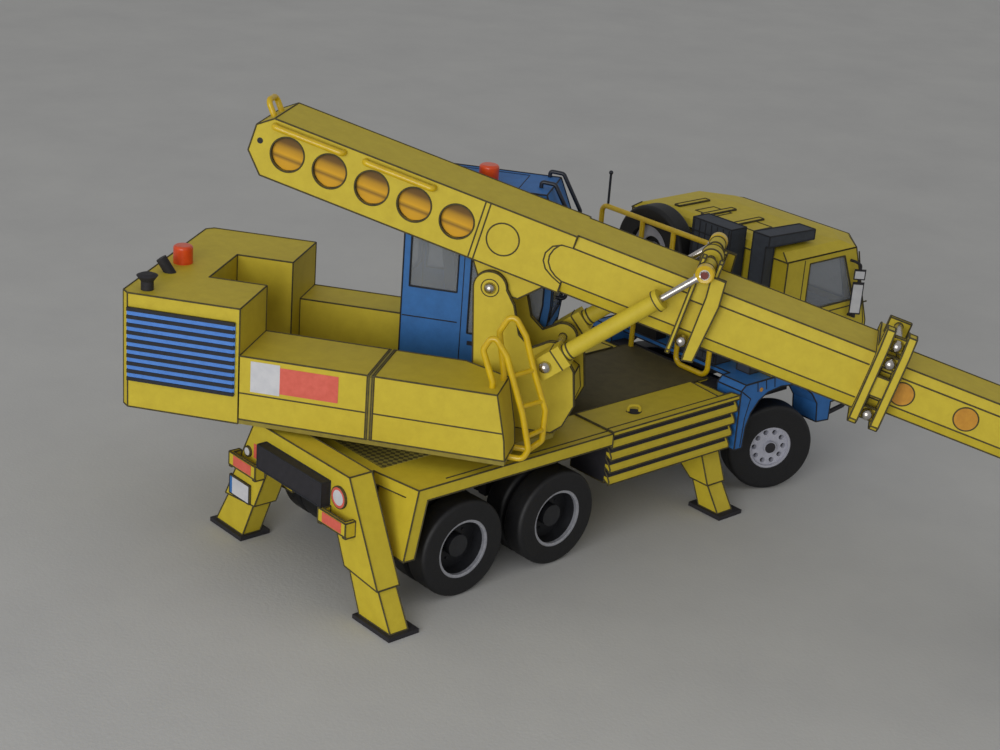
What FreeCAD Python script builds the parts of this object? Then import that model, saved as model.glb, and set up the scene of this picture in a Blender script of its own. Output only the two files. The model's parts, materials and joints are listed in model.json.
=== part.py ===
"""Card scale model, about 1:53, of a 6x6 truck-mounted telescopic excavator.

Millimetres. X runs forward along the truck, Y to its left, Z up, and the origin is on
the floor under the slewing axis. Three frames are used: the truck's own, the upper
works' frame (X along the boom, turned by YAW about Z), and the boom's frame (X along
the boom, Z square to it, origin on its pivot pin, tipped by TILT in the upper works).
"""
import FreeCAD, Part
import math
import os

os.makedirs("parts", exist_ok=True)
V = FreeCAD.Vector
X, Y, Z = V(1, 0, 0), V(0, 1, 0), V(0, 0, 1)
SIDES = (("right", -1), ("left", 1))

# ---- card, wire and fits ------------------------------------------------------------
CARD = 0.7            # laminated card walls
FILM = 0.3            # clear film in the windows
WIRE = 0.32           # radius of the thin wire of small handles
RAIL_WIRE = 0.6       # radius of the thick wire of guard frame and step rails
RUN = 0.05            # radial clearance of whatever turns on a pin or stub
SLIDE = 0.25          # clearance of the telescope in its guides

# ---- truck --------------------------------------------------------------------------
HALF_W = 23.6         # half the truck's width
DECK_Z = 25.7         # top of the deck
DECK_T = 2.5          # depth of the deck and of its edge band
DECK_REAR = -24.7     # rear edge of the outer deck
DECK_FRONT = 66.0     # front edge of the middle deck
BOX_X0, BOX_X1 = 25.8, 63.9       # storage boxes along the truck
BOX_Z0 = 14.2         # underside of the storage boxes
BOX_IN = 12.2         # inner edge of the storage boxes
TYRE_R = 10.1
TYRE_W = 5.2          # width of a rear tyre
TYRE_W_FRONT = 5.8
TWIN_GAP = 0.8        # gap between twin tyres
RIM_R = 6.1           # radius of a rear rim where the tyre starts
RIM_R_FRONT = 5.0
RIM_LIP = 0.5         # wall of a rim around its wells
AXLE_X = (79.5, 12.2, -12.4)      # front, first rear, second rear
STUB_R = 1.0          # radius of the axle stubs
STEER = -25.0         # at rest the front wheels point this far round to the right
KING_Y = 18.8         # kingpins, inside the front wheels
KING_R = 0.6
KING_EYE_R = 1.1
RAIL_Y = 8.0          # middle of a chassis rail
RAIL_W = 2.4
RAIL_Z0, RAIL_Z1 = 15.2, 20.4

# ---- outriggers ---------------------------------------------------------------------
BRIDGE_X0, BRIDGE_X1 = -34.8, -29.6
BRIDGE_TOP_Y, BRIDGE_TOP_Z = 15.5, 27.7
BRIDGE_BEAM_Z = 18.4
SLEEVE_Z = 9.3        # lower end of the sleeves
FOOT_Y0, FOOT_Y1 = 19.7, 29.2
PAD_T = 0.9
PAD_Y0, PAD_Y1 = 18.9, 30.2
FRONT_LEG_X0, FRONT_LEG_X1 = 56.6, 61.9

# ---- truck cab ----------------------------------------------------------------------
CAB_X0 = 74.2
CAB_Z0, CAB_Z1 = 28.0, 54.4
ROOF_Z = 56.0

# ---- upper works --------------------------------------------------------------------
YAW = -53.9           # at rest the boom points to the front right
BASE_Z = 28.4         # underside of the upper works
BASE_T = 1.0
ENG_X0, ENG_X1 = -59.5, -35.2
ENG_Z = 52.0
PIPE_FOOT = (-55.6, -8.2)         # where the exhaust pipe leaves the housing
NOTCH_X = -47.3       # bottom of the slot that the boom's tail swings in
NOTCH_Y = 7.9         # half the slot's width
UP_Y = 22.9           # half the width of the upper works
SIDE_Z = 42.5         # top of the side boxes
SIDE_TIP_TOP, SIDE_TIP_LOW = 15.7, 18.0
JOINT_X = -8.9        # dark joint across the right side box
OPCAB_X0 = -12.1
OPCAB_Y0 = 8.6
OPCAB_Z = 73.0
PIVOT_X, PIVOT_Z = 9.25, 57.46
EAR_Y = 6.1           # outer face of the mast's side plates
EAR_T = 0.8
EAR_R = 3.3
CYL_PIN_X, CYL_PIN_Z = 22.4, 45.5
CYL_Y = 10.57         # middle plane of each lift cylinder
PIN_R = 0.75
HEAD_R = 1.2          # domed pin heads

# ---- boom ---------------------------------------------------------------------------
TILT = 14.2           # at rest the boom's nose is down by this
BOOM_Y = 7.1          # half the boom's width
BOOM_W0, BOOM_W1 = 4.6, 16.4      # its lower and upper faces
BOOM_MID = (BOOM_W0 + BOOM_W1) / 2
BOOM_TAIL, BOOM_END = -53.0, 74.1
TAIL_CHAMFER = ((0.3, 14.0), (3.4, BOOM_W1))      # corners of the tail's top chamfer, from the tail
BEVEL_U = 12.6        # from here on the corners are bevelled
BEVEL_Y, BEVEL_W = 0.9, 2.4
HOLE_R, HOLE_U, HOLE_STEP, HOLES = 3.4, -45.3, 8.81, 5
EYE_U, EYE_W = 37.4, 20.0         # pin of the rod eyes in the boom frame
COLLAR_1 = (36.1, 39.5)           # middle planes of the collars' plates
COLLAR_1_TOPS = (21.9, 19.6)
COLLAR_2 = (72.9, 77.1)
COLLAR_2_TOPS = (22.0, 17.7)      # upper ends of its plates, right and left of the boom
COLLAR_2_PINS = (5.2, 16.0)       # side pins of the second collar, by height
COLLAR_2_CROSS = 19.4             # and its cross pin over the boom
COLLAR_Y = 9.2
PLATE = 0.7           # collar plates beside the rod eyes
STRAP = 1.5           # thickness of the front collar's plates
TELE_TAIL, TELE_END = -5.0, 110.0
HEAD_U = 119.0        # tool pin along the boom
HEAD_W = 7.0
BUCKET_Y = 9.5        # half the bucket's width
BARREL_L = 26.0       # from the base pin to the end of a lift cylinder's gland
ROD_R = 0.7
ROD_IN = 12.2         # length of rod inside the barrel at rest


# ---- shape helpers ------------------------------------------------------------------
def box(x0, x1, y0, y1, z0, z1):
    """Block between two corners."""
    return Part.makeBox(x1 - x0, y1 - y0, z1 - z0, V(x0, y0, z0))


def rod(start, end, radius):
    """Round bar between two points."""
    start, end = V(*start), V(*end)
    return Part.makeCylinder(radius, (end - start).Length, start, end - start)


def prism(points, axis, low, high):
    """Polygon pushed along an axis. Points are (x, z) for Y, (y, z) for X, (x, y) for Z."""
    place = {"X": lambda a, b: V(low, a, b), "Y": lambda a, b: V(a, low, b), "Z": lambda a, b: V(a, b, low)}[axis]
    corners = [place(a, b) for a, b in points]
    face = Part.Face(Part.makePolygon(corners + corners[:1]))
    return face.extrude({"X": X, "Y": Y, "Z": Z}[axis] * (high - low))


def fuse(*shapes):
    """One solid from pieces that meet."""
    whole = shapes[0].multiFuse(list(shapes[1:])) if len(shapes) > 1 else shapes[0]
    return whole.removeSplitter()


def cut(shape, *tools):
    """The shape without the tools."""
    return shape.cut(list(tools))


def mirror(shape):
    """The same piece on the other side of the truck."""
    return shape.mirror(V(0, 0, 0), Y)


def both(shape):
    """The piece on the left and on the right, as separate solids."""
    return [shape, mirror(shape)]


def bent_wire(points, radius, bend):
    """Wire bent round its corners."""
    points = [V(*p) for p in points]
    edges, last = [], points[0]
    for before, corner, after in zip(points, points[1:], points[2:]):
        back, ahead = (before - corner).normalize(), (after - corner).normalize()
        half = back.getAngle(ahead) / 2
        reach = min(bend / math.tan(half), 0.45 * (before - corner).Length, 0.45 * (after - corner).Length)
        arc_r = reach * math.tan(half)
        middle = (back + ahead).normalize() * (arc_r / math.sin(half) - arc_r)
        start, end = corner + back * reach, corner + ahead * reach
        edges += [Part.LineSegment(last, start).toShape(), Part.Arc(start, corner + middle, end).toShape()]
        last = end
    edges.append(Part.LineSegment(last, points[-1]).toShape())
    ring = Part.Wire([Part.makeCircle(radius, points[0], points[1] - points[0])])
    return Part.Wire(edges).makePipeShell([ring], True, False)


def pin_head(centre, side):
    """Domed head of a pin that points along Y, to the given side."""
    x, y, z = centre
    ball = Part.makeSphere(HEAD_R, V(x, y, z))
    keep = box(x - 2, x + 2, min(y, y + side * 2), max(y, y + side * 2), z - 2, z + 2)
    return ball.common(keep)


def to_truck(shape):
    """Upper works' frame to the truck's frame."""
    turned = shape.copy()
    turned.rotate(V(0, 0, 0), Z, YAW)
    return turned


def boom_to_upper(shape):
    """Boom's frame to the upper works' frame."""
    moved = shape.copy()
    moved.rotate(V(0, 0, 0), Y, TILT)
    moved.translate(V(PIVOT_X, 0, PIVOT_Z))
    return moved


def boom_to_truck(shape):
    """Boom's frame to the truck's frame."""
    return to_truck(boom_to_upper(shape))


def boom_point(u, w):
    """Place in the upper works' frame of a point (u, w) of the boom's frame."""
    tilt = math.radians(TILT)
    return (PIVOT_X + u * math.cos(tilt) + w * math.sin(tilt), PIVOT_Z - u * math.sin(tilt) + w * math.cos(tilt))


def save(name, solids, place=None):
    """Write one node. Solids that don't touch stay separate in it."""
    if not isinstance(solids, list):
        solids = [solids]
    if place:
        solids = [place(s) for s in solids]
    flat = [s for shape in solids for s in shape.Solids]
    shape = flat[0] if len(flat) == 1 else Part.makeCompound(flat)
    shape.exportStep("parts/" + name + ".step")


# ---- truck: frame and running gear ----------------------------------------------------
def chassis_frame():
    rails = [box(DECK_REAR - 4.9, 98.0, s * RAIL_Y - RAIL_W / 2, s * RAIL_Y + RAIL_W / 2, RAIL_Z0, RAIL_Z1)
             for s in (-1, 1)]
    crosses = [box(x - 1.2, x + 1.2, -RAIL_Y, RAIL_Y, RAIL_Z0 + 0.6, RAIL_Z1 - 0.6)
               for x in (-28.0, AXLE_X[2], 0.0, AXLE_X[1], 40.0, 64.0, AXLE_X[0], 96.0)]
    subframe = [box(DECK_REAR, DECK_FRONT, s * RAIL_Y - RAIL_W / 2, s * RAIL_Y + RAIL_W / 2, RAIL_Z1, DECK_Z - DECK_T)
                for s in (-1, 1)]
    return fuse(*rails, *crosses, *subframe)


def axle(x, inner_y, ends):
    """Axle beam with its diff housing, what carries its wheels, and the springs that carry it."""
    beam = rod((x, -inner_y, TYRE_R), (x, inner_y, TYRE_R), 1.5)
    bulge = Part.makeSphere(3.0, V(x, 0, TYRE_R))
    springs = [box(x - 7.0, x + 7.0, s * RAIL_Y - 1.1, s * RAIL_Y + 1.1, TYRE_R + 1.0, TYRE_R + 2.4) for s in (-1, 1)]
    seats = [box(x + d - 0.8, x + d + 0.8, s * RAIL_Y - 1.1, s * RAIL_Y + 1.1, TYRE_R + 1.0, RAIL_Z0)
             for s in (-1, 1) for d in (-6.2, 6.2)]
    return fuse(beam, bulge, *ends, *springs, *seats)


def kingpin_ends(x):
    """Slim ends of the front axle, each with an eye and the kingpin that its knuckle turns on."""
    slim = rod((x, -KING_Y, TYRE_R), (x, KING_Y, TYRE_R), STUB_R)
    ends = [slim]
    for y in (-KING_Y, KING_Y):
        ends += [rod((x, y, TYRE_R - STUB_R - 0.2), (x, y, TYRE_R + STUB_R + 0.2), KING_EYE_R),
                 rod((x, y, TYRE_R - 2.6), (x, y, TYRE_R + 2.6), KING_R)]
    return ends


def knuckle(side, stub_end):
    """Yoke round the kingpin with the stub that the front wheel turns on."""
    x, y, gap, arm = AXLE_X[0], side * KING_Y, STUB_R + 0.2 + RUN, 0.9
    web_in, web_out = KING_EYE_R + 0.1, KING_EYE_R + 0.9
    arms = []
    for z in (TYRE_R - gap - arm, TYRE_R + gap):
        y0, y1 = sorted((y, y + side * web_out))
        arms.append(fuse(rod((x, y, z), (x, y, z + arm), 1.3), box(x - 1.3, x + 1.3, y0, y1, z, z + arm)))
    y0, y1 = sorted((y + side * web_in, y + side * web_out))
    web = box(x - 1.3, x + 1.3, y0, y1, TYRE_R - gap - arm, TYRE_R + gap + arm)
    stub = rod((x, y + side * web_in, TYRE_R), (x, side * stub_end, TYRE_R), STUB_R)
    return cut(fuse(*arms, web, stub), rod((x, y, 0), (x, y, 2 * TYRE_R), KING_R + RUN))


def steered(side):
    """Turns a front wheel or knuckle about its kingpin."""
    def place(shape):
        turned = shape.copy()
        turned.rotate(V(AXLE_X[0], side * KING_Y, 0), Z, STEER)
        return turned
    return place


def tyre(x, y_mid, width, bore):
    """Tyre with rounded shoulders."""
    half = width / 2
    ring = rod((x, y_mid - half, TYRE_R), (x, y_mid + half, TYRE_R), TYRE_R)
    rims = [e for e in ring.Edges if isinstance(e.Curve, Part.Circle)]
    ring = ring.makeFillet(0.9, rims)
    return cut(ring, rod((x, y_mid - half - 1, TYRE_R), (x, y_mid + half + 1, TYRE_R), bore))


def rear_rim(x, side, y_out, y_in):
    """Deep dished twin rim: a drum for both tyres with a disc and hub well inside."""
    drum = rod((x, side * y_in, TYRE_R), (x, side * y_out, TYRE_R), RIM_R)
    dish = rod((x, side * (y_out - 3.6), TYRE_R), (x, side * (y_out + 1), TYRE_R), RIM_R - 0.6)
    back = rod((x, side * (y_in - 1), TYRE_R), (x, side * (y_in + 5.0), TYRE_R), RIM_R - 0.6)
    hub = rod((x, side * (y_out - 3.7), TYRE_R), (x, side * (y_out - 1.4), TYRE_R), 2.3)
    hub_back = rod((x, side * (y_in + 1.0), TYRE_R), (x, side * (y_in + 5.1), TYRE_R), 2.3)
    bore = rod((x, side * (y_in - 1), TYRE_R), (x, side * (y_out - 2.0), TYRE_R), STUB_R + RUN)
    return cut(fuse(cut(drum, dish, back), hub, hub_back), bore)


def front_rim(x, side, y_out, y_in):
    """Front rim: a disc pierced by ten round holes round a small hub."""
    well = RIM_R_FRONT - RIM_LIP
    drum = rod((x, side * y_in, TYRE_R), (x, side * y_out, TYRE_R), RIM_R_FRONT)
    front = rod((x, side * (y_out - 0.7), TYRE_R), (x, side * (y_out + 1), TYRE_R), well)
    back = rod((x, side * (y_in - 1), TYRE_R), (x, side * (y_out - 2.0), TYRE_R), well)
    cap = rod((x, side * (y_out - 1.2), TYRE_R), (x, side * (y_out + 0.3), TYRE_R), 1.4)
    holes = []
    for i in range(10):
        turn = math.radians(36 * i)
        cx, cz = x + 3.5 * math.cos(turn), TYRE_R + 3.5 * math.sin(turn)
        holes.append(rod((cx, side * (y_out - 3), cz), (cx, side * (y_out + 1), cz), 0.6))
    bore = rod((x, side * (y_in - 1), TYRE_R), (x, side * (y_out - 0.4), TYRE_R), STUB_R + RUN)
    return cut(fuse(cut(drum, front, back), cap), bore, *holes)


def make_running_gear():
    out = HALF_W - 0.2
    twin_in = out - 2 * TYRE_W - TWIN_GAP
    front_in = out - TYRE_W_FRONT
    axles = [axle(AXLE_X[0], RAIL_Y + 5.0, kingpin_ends(AXLE_X[0]))]
    for x in AXLE_X[1:]:
        stub = rod((x, 2.5 - out, TYRE_R), (x, out - 2.5, TYRE_R), STUB_R)
        axles.append(axle(x, twin_in - 0.8, [stub]))
    save("axles", axles)
    for side_name, side in SIDES:
        turn = steered(side)
        save("knuckle_" + side_name, knuckle(side, out - 1.0), turn)
        save("tyre_front_" + side_name, tyre(AXLE_X[0], side * (out - TYRE_W_FRONT / 2), TYRE_W_FRONT, RIM_R_FRONT), turn)
        save("rim_front_" + side_name, front_rim(AXLE_X[0], side, out - 0.4, front_in + 0.3), turn)
        for number, x in enumerate(AXLE_X[1:], 1):
            name = "rear%d_%s" % (number, side_name)
            pair = [tyre(x, side * mid, TYRE_W, RIM_R) for mid in (out - TYRE_W / 2, twin_in + TYRE_W / 2)]
            save("tyres_" + name, pair)
            save("rim_" + name, rear_rim(x, side, out - 0.3, twin_in + 0.3))


# ---- truck: deck, boxes, outriggers ---------------------------------------------------
def deck():
    """Deck slab with its edge band, and the mudguard slabs that slope down at its rear."""
    low = DECK_Z - DECK_T
    plate = prism([(BRIDGE_X1, -12.0), (DECK_REAR - 1.7, -12.0), (DECK_REAR, -HALF_W), (BOX_X0, -HALF_W),
                   (BOX_X0, -BOX_IN), (DECK_FRONT, -BOX_IN), (DECK_FRONT, BOX_IN), (BOX_X0, BOX_IN),
                   (BOX_X0, HALF_W), (DECK_REAR, HALF_W), (DECK_REAR - 1.7, 12.0), (BRIDGE_X1, 12.0)], "Z", low, DECK_Z)
    wheel_room = box(DECK_REAR + 2.4, BOX_X0, -HALF_W - 1, HALF_W + 1, low - 1, DECK_Z - 1.0)
    wheel_room = cut(wheel_room, box(DECK_REAR, BOX_X0, -11.0, 11.0, low - 2, DECK_Z))
    band = [box(DECK_REAR + 1.0, BOX_X0, s * (HALF_W - CARD / 2) - CARD / 2, s * (HALF_W - CARD / 2) + CARD / 2,
                low, DECK_Z - 0.5) for s in (-1, 1)]
    guard = prism([(DECK_REAR, DECK_Z - 0.2), (DECK_REAR + 2.6, DECK_Z - 0.8), (-24.9, 11.5), (-27.5, 11.6)],
                  "Y", 12.4, HALF_W)
    return fuse(cut(plate, wheel_room), *band, guard, mirror(guard))


def storage_box(side):
    """Box beside the frame, its outer face built of overlapping slats with a lid handle."""
    y_out, y_in = side * HALF_W, side * BOX_IN
    slat = (DECK_Z - 0.6 - BOX_Z0) / 4
    body = box(BOX_X0, BOX_X1 - 1.2, min(y_in, y_out - side * 1.4), max(y_in, y_out - side * 1.4), BOX_Z0, DECK_Z - 0.3)
    lid = prism([(BOX_X0, y_in), (BOX_X0, y_out), (BOX_X1, y_out), (BOX_X1 - 0.6, y_out - side * 2.2),
                 (59.2, y_out - side * 2.1), (60.3, y_in)], "Z", DECK_Z - 0.6, DECK_Z + 0.3)
    slats = []
    for i in range(4):
        top = DECK_Z - 0.6 - i * slat
        front = BOX_X1 - 0.3 - 0.5 * i
        points = [(y_out - side * 1.6, top - slat + 0.9), (y_out, top - slat), (y_out, top - slat + 0.8),
                  (y_out - side * 0.9, top - 0.5), (y_out - side * 1.6, top + 0.2)]
        slats.append(prism(points, "X", BOX_X0, front))
    handle = bent_wire([(36.2, side * 17.2, DECK_Z), (36.2, side * 17.2, DECK_Z + 1.7),
                        (38.2, side * 18.6, DECK_Z + 1.7), (38.2, side * 18.6, DECK_Z)], WIRE, 0.7)
    return fuse(body, lid, *slats, handle)


def rear_bridge():
    """Rear outrigger bridge, an arch of card whose sloping arms are the leg sleeves."""
    half = [(0, BRIDGE_TOP_Z), (BRIDGE_TOP_Y, BRIDGE_TOP_Z), (25.4, 8.3), (15.1, SLEEVE_Z), (11.0, BRIDGE_BEAM_Z)]
    outline = half + [(-y, z) for y, z in reversed(half[1:])]
    return prism(outline, "X", BRIDGE_X0, BRIDGE_X1)


def leg(x0, x1, top, foot, drop):
    """Inner leg: it fills its sleeve's open end and stands on its pad."""
    (top_in, top_out, top_z), (foot_in, foot_out) = top, foot
    return prism([(top_in, top_z + drop), (top_out, top_z), (foot_out, PAD_T), (foot_in, PAD_T)], "X", x0, x1)


def front_sleeves():
    """Front outrigger sleeves, hung under the frame on a cross beam."""
    beam = box(FRONT_LEG_X0, FRONT_LEG_X1, -11.6, 11.6, BOX_Z0 - 1.6, RAIL_Z0)
    tip = HALF_W + 0.2
    arm = prism([(11.5, BOX_Z0), (tip - 3.3, BOX_Z0), (tip, 6.4), (tip - 5.2, 6.4), (11.5, 11.6)], "X",
                FRONT_LEG_X0, FRONT_LEG_X1)
    return fuse(beam, arm, mirror(arm))


def make_outriggers():
    save("rear_bridge", rear_bridge())
    save("front_outriggers", front_sleeves())
    rear = leg(BRIDGE_X0 + 0.5, BRIDGE_X1 - 0.5, (16.0, 24.9, 8.35), (FOOT_Y0, FOOT_Y1), 0.8)
    front = leg(FRONT_LEG_X0 + 0.4, FRONT_LEG_X1 - 0.4, (HALF_W - 4.6, HALF_W - 0.2, 6.4),
                (HALF_W - 2.0, HALF_W + 3.6), 0.0)
    save("outrigger_legs", both(rear) + both(front))
    rear_pad = box(BRIDGE_X0 - 0.5, BRIDGE_X1 + 1.4, PAD_Y0, PAD_Y1, 0, PAD_T)
    front_pad = box(FRONT_LEG_X0 - 0.4, FRONT_LEG_X1 + 1.4, HALF_W - 4.2, HALF_W + 5.0, 0, PAD_T)
    save("outrigger_pads", both(rear_pad) + both(front_pad))


def make_rear_plates():
    """Bumper bar, two U-shaped lamp brackets, registration plate, round sign and small reflector."""
    face, proud = BRIDGE_X0, BRIDGE_X0 - 2.4
    save("bumper_bar", box(face - 2.2, face, -9.8, 11.3, 19.9, 24.8))
    brackets = []
    for y0, y1 in ((-18.0, -9.4), (11.7, 20.8)):
        plate = box(proud, proud + 0.6, y0, y1, 17.1, 19.8)
        arms = [box(proud + 0.1, face, y - 0.4, y + 0.4, 16.7, 19.8) for y in (y0 + 0.4, y1 - 0.4)]
        brackets.append(fuse(plate, *arms))
    plate = box(face - 0.4, face, 16.4, 23.4, 9.3, 13.3)
    discs = [rod((face - 0.4, y, z), (face, y, z), r) for y, z, r in ((-12.9, 22.7, 2.1), (17.4, 20.6, 1.0))]
    save("rear_plates", brackets + [plate] + discs)


# ---- truck: cab and what stands behind it ---------------------------------------------
def cab_level(z, side_x, front_x, front_y, inset):
    """Plan of the cab at one height: straight sides, angled corners, flat front."""
    y, f = HALF_W - inset, front_y - inset * 0.4
    corners = [(CAB_X0 + inset, -y), (side_x - inset * 0.6, -y), (front_x - inset, -f),
               (front_x - inset, f), (side_x - inset * 0.6, y), (CAB_X0 + inset, y)]
    points = [V(a, b, z) for a, b in corners]
    return Part.makePolygon(points + points[:1])


def cab_form(inset):
    """Cab volume, drawn in by inset on every side but the open bottom."""
    levels = [(CAB_Z0 - (1 if inset else 0), 104.8, 106.6, 20.0), (36.0, 104.4, 106.4, 19.0),
              (CAB_Z1 - inset, 97.3, 103.4, 16.0)]
    return Part.makeLoft([cab_level(*level, inset) for level in levels], True, True)


def cab_windows():
    side = prism([(81.8, 42.0), (81.8, 53.0), (93.6, 53.0), (98.8, 42.0)], "Y", -HALF_W - 2, HALF_W + 2)
    screen = prism([(-16.2, 39.0), (16.2, 39.0), (14.2, 52.9), (-14.2, 52.9)], "X", 90.0, 110.0)
    rear = [box(CAB_X0 - 2, CAB_X0 + 2, y0, y0 + 7.0, 43.0, 51.0) for y0 in (-10.5, 3.5)]
    return fuse(side, screen), rear


def make_cab():
    windows, rear = cab_windows()
    save("cab_body", cut(cab_form(0), cab_form(CARD), windows, *rear))
    film = cut(cab_form(0.2), cab_form(0.2 + FILM))
    save("cab_glazing", [film.common(windows)] + [film.common(w) for w in rear])
    edge, flat = HALF_W, 21.4
    low = [(CAB_X0 - 0.3, -edge), (97.3, -edge), (104.0, -16.0), (104.0, 16.0), (97.3, edge), (CAB_X0 - 0.3, edge)]
    high = [(CAB_X0 + 0.7, -flat), (94.0, -flat), (99.0, -14.5), (99.0, 14.5), (94.0, flat), (CAB_X0 + 0.7, flat)]
    crown = [(CAB_X0 + 2.2, -14.0), (88.0, -14.0), (92.0, -9.0), (92.0, 9.0), (88.0, 14.0), (CAB_X0 + 2.2, 14.0)]
    outlines = []
    for z, plan in ((CAB_Z1, low), (ROOF_Z, high), (ROOF_Z + 1.0, crown)):
        points = [V(a, b, z) for a, b in plan]
        outlines.append(Part.makePolygon(points + points[:1]))
    roof = Part.makeLoft(outlines, True, True)
    ribs = [box(CAB_X0 + 2.8, 87.0, y - 0.7, y + 0.7, ROOF_Z, ROOF_Z + 1.3) for y in (-12.4, -4.2, 4.2, 12.4)]
    save("cab_roof", fuse(roof, *ribs))
    save("cab_lower", cab_lower())
    save("cab_interior", cab_interior())


def cab_lower():
    """Blue lower body: mudguards arched high over the steered wheels, steps and bumper, open underneath."""
    wing = prism([(64.2, 13.0), (64.2, CAB_Z0 - 1.2), (65.6, CAB_Z0), (106.0, CAB_Z0), (106.6, 22.0), (104.5, 17.6),
                  (96.1, 17.6), (96.1, 13.2), (91.8, 13.6), (91.2, 18.2), (89.0, 21.0), (86.0, 23.2), (82.0, 24.8),
                  (77.6, 25.3), (73.2, 24.8), (70.4, 23.4), (68.2, 21.0), (67.0, 18.0), (66.6, 13.0)],
                 "Y", 16.6, HALF_W)
    front = prism([(102.5, 15.4), (104.5, 17.6), (106.6, 22.0), (106.0, CAB_Z0), (102.5, CAB_Z0)], "Y", -16.6, 16.6)
    floor = box(68.0, 103.0, -16.6, 16.6, CAB_Z0 - 1.0, CAB_Z0)
    lamps = [box(106.0, 106.9, s * 14.5 - 2.0, s * 14.5 + 2.0, 22.4, 24.8) for s in (-1, 1)]
    mounts = [box(94.0, 98.0, s * RAIL_Y - 1.2, s * RAIL_Y + 1.2, RAIL_Z1, CAB_Z0 - 0.5) for s in (-1, 1)]
    return fuse(wing, mirror(wing), front, floor, *lamps, *mounts)


def cab_interior():
    """Seats, engine cover, dash and wheel inside the cab."""
    floor_z = CAB_Z0
    cover = box(82.0, 95.0, -4.5, 4.5, floor_z, floor_z + 5.0)
    dash = prism([(97.0, floor_z), (104.0, floor_z), (103.6, 38.0), (99.0, 38.6)], "Y", -20.0, 20.0)
    dash = cut(dash, box(80, 110, -30, 30, CAB_Z0 - 2, CAB_Z0))
    seats = []
    for y in (-12.5, 12.5):
        seats.append(fuse(box(83.0, 91.0, y - 4.5, y + 4.5, floor_z, floor_z + 7.0),
                          box(81.0, 83.8, y - 4.5, y + 4.5, floor_z, 48.0)))
    column = rod((98.5, 12.5, 36.5), (94.5, 12.5, 39.5), 0.4)
    ring = Part.makeTorus(3.4, 0.35, V(94.5, 12.5, 39.5), V(-4, 0, 3))
    spokes = box(94.1, 94.9, 9.0, 16.0, 39.2, 39.8)
    return [fuse(cover, box(80.9, 104.0, -20.0, 20.0, floor_z, floor_z + 0.5), dash, *seats, column, ring, spokes)]


def guard_frame():
    """Yellow wire frame behind the cab: a long top loop on tall legs joined at the foot."""
    x, top, mid = 65.0, 55.9, 49.0
    y_near, y_far, foot_y = -12.6, 24.3, (-12.6, -3.0)
    foot_z = DECK_Z + RAIL_WIRE + 0.1
    top_bar = bent_wire([(x, y_near, mid), (x, y_near, top), (x, y_far, top), (x, y_far, mid)], RAIL_WIRE, 1.6)
    low_bar = rod((x, y_near, mid), (x, y_far, mid), RAIL_WIRE)
    posts = [rod((x, y, mid), (x, y, top), RAIL_WIRE) for y in (1.7, 11.3)]
    loop = bent_wire([(x, foot_y[0], mid), (x, foot_y[0], foot_z), (x, foot_y[1], foot_z), (x, foot_y[1], mid)],
                     RAIL_WIRE, 2.0)
    far_leg = rod((x, 11.0, DECK_Z), (x, 11.0, mid), RAIL_WIRE)
    return fuse(top_bar, low_bar, *posts, loop, far_leg)


def make_behind_cab():
    save("guard_frame", guard_frame())
    near, far = -19.6, -15.8
    upright = box(71.0, 73.8, near, far, CAB_Z0, 59.0)
    hood = prism([(71.0, 57.4), (86.0, 57.1), (86.0, 59.3), (71.0, 59.8)], "Y", near - 0.8, far)
    chest = box(68.6, 73.4, -11.6, -0.4, CAB_Z0, 59.2)
    save("intake_ducts", [fuse(upright, hood), chest])
    wheel_z, wheel_y = DECK_Z + 0.9 + TYRE_R + 12.0, 0.4 + TYRE_R
    ring = rod((66.6, wheel_y, wheel_z), (66.6 + TYRE_W, wheel_y, wheel_z), TYRE_R)
    ring = ring.makeFillet(0.9, [e for e in ring.Edges if isinstance(e.Curve, Part.Circle)])
    well = rod((66.0, wheel_y, wheel_z), (68.8, wheel_y, wheel_z), RIM_R - 0.4)
    stand = box(68.2, 71.6, wheel_y - 4.0, wheel_y + 4.0, CAB_Z0, wheel_z - TYRE_R + 1.0)
    save("spare_wheel", fuse(cut(ring, well), stand))
    save("antenna", fuse(rod((65.0, 22.6, 56.6), (65.0, 22.6, 63.8), 0.28), Part.makeSphere(0.5, V(65.0, 22.6, 63.8))))


def mirrors():
    """Mirror heads set askew beside the screen on a wire that stands off the cab."""
    made = []
    for side in (-1, 1):
        near, far, thick = (96.3, HALF_W + 1.1), (98.3, HALF_W + 2.8), 0.6
        plan = [(x, side * y) for x, y in (near, far, (far[0] + thick, far[1] - 0.4), (near[0] + thick, near[1] - 0.4))]
        x, out = (near[0] + far[0] + thick) / 2, side * ((near[1] + far[1] - 0.4) / 2)
        head, small = prism(plan, "Z", 39.2, 46.6), prism(plan, "Z", 47.3, 49.6)
        arm = bent_wire([(x - 1.6, side * HALF_W, 51.6), (x - 1.6, out, 51.6), (x, out, 50.6), (x, out, 38.4)], WIRE, 0.8)
        foot = rod((x, side * HALF_W, 38.6), (x, out, 38.6), WIRE)
        made.append(fuse(head, small, arm, foot))
    return made


# ---- upper works ----------------------------------------------------------------------
def turntable():
    """Platform of the upper works with the upper half of the slewing ring."""
    plate = prism([(ENG_X1, -UP_Y), (SIDE_TIP_LOW, -UP_Y), (SIDE_TIP_LOW, -14.0), (24.0, -EAR_Y), (24.0, EAR_Y),
                   (17.0, UP_Y), (ENG_X1, UP_Y)], "Z", BASE_Z, BASE_Z + BASE_T)
    ring = rod((0, 0, DECK_Z + 1.4), (0, 0, BASE_Z), 12.0)
    return fuse(plate, ring)


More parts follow.
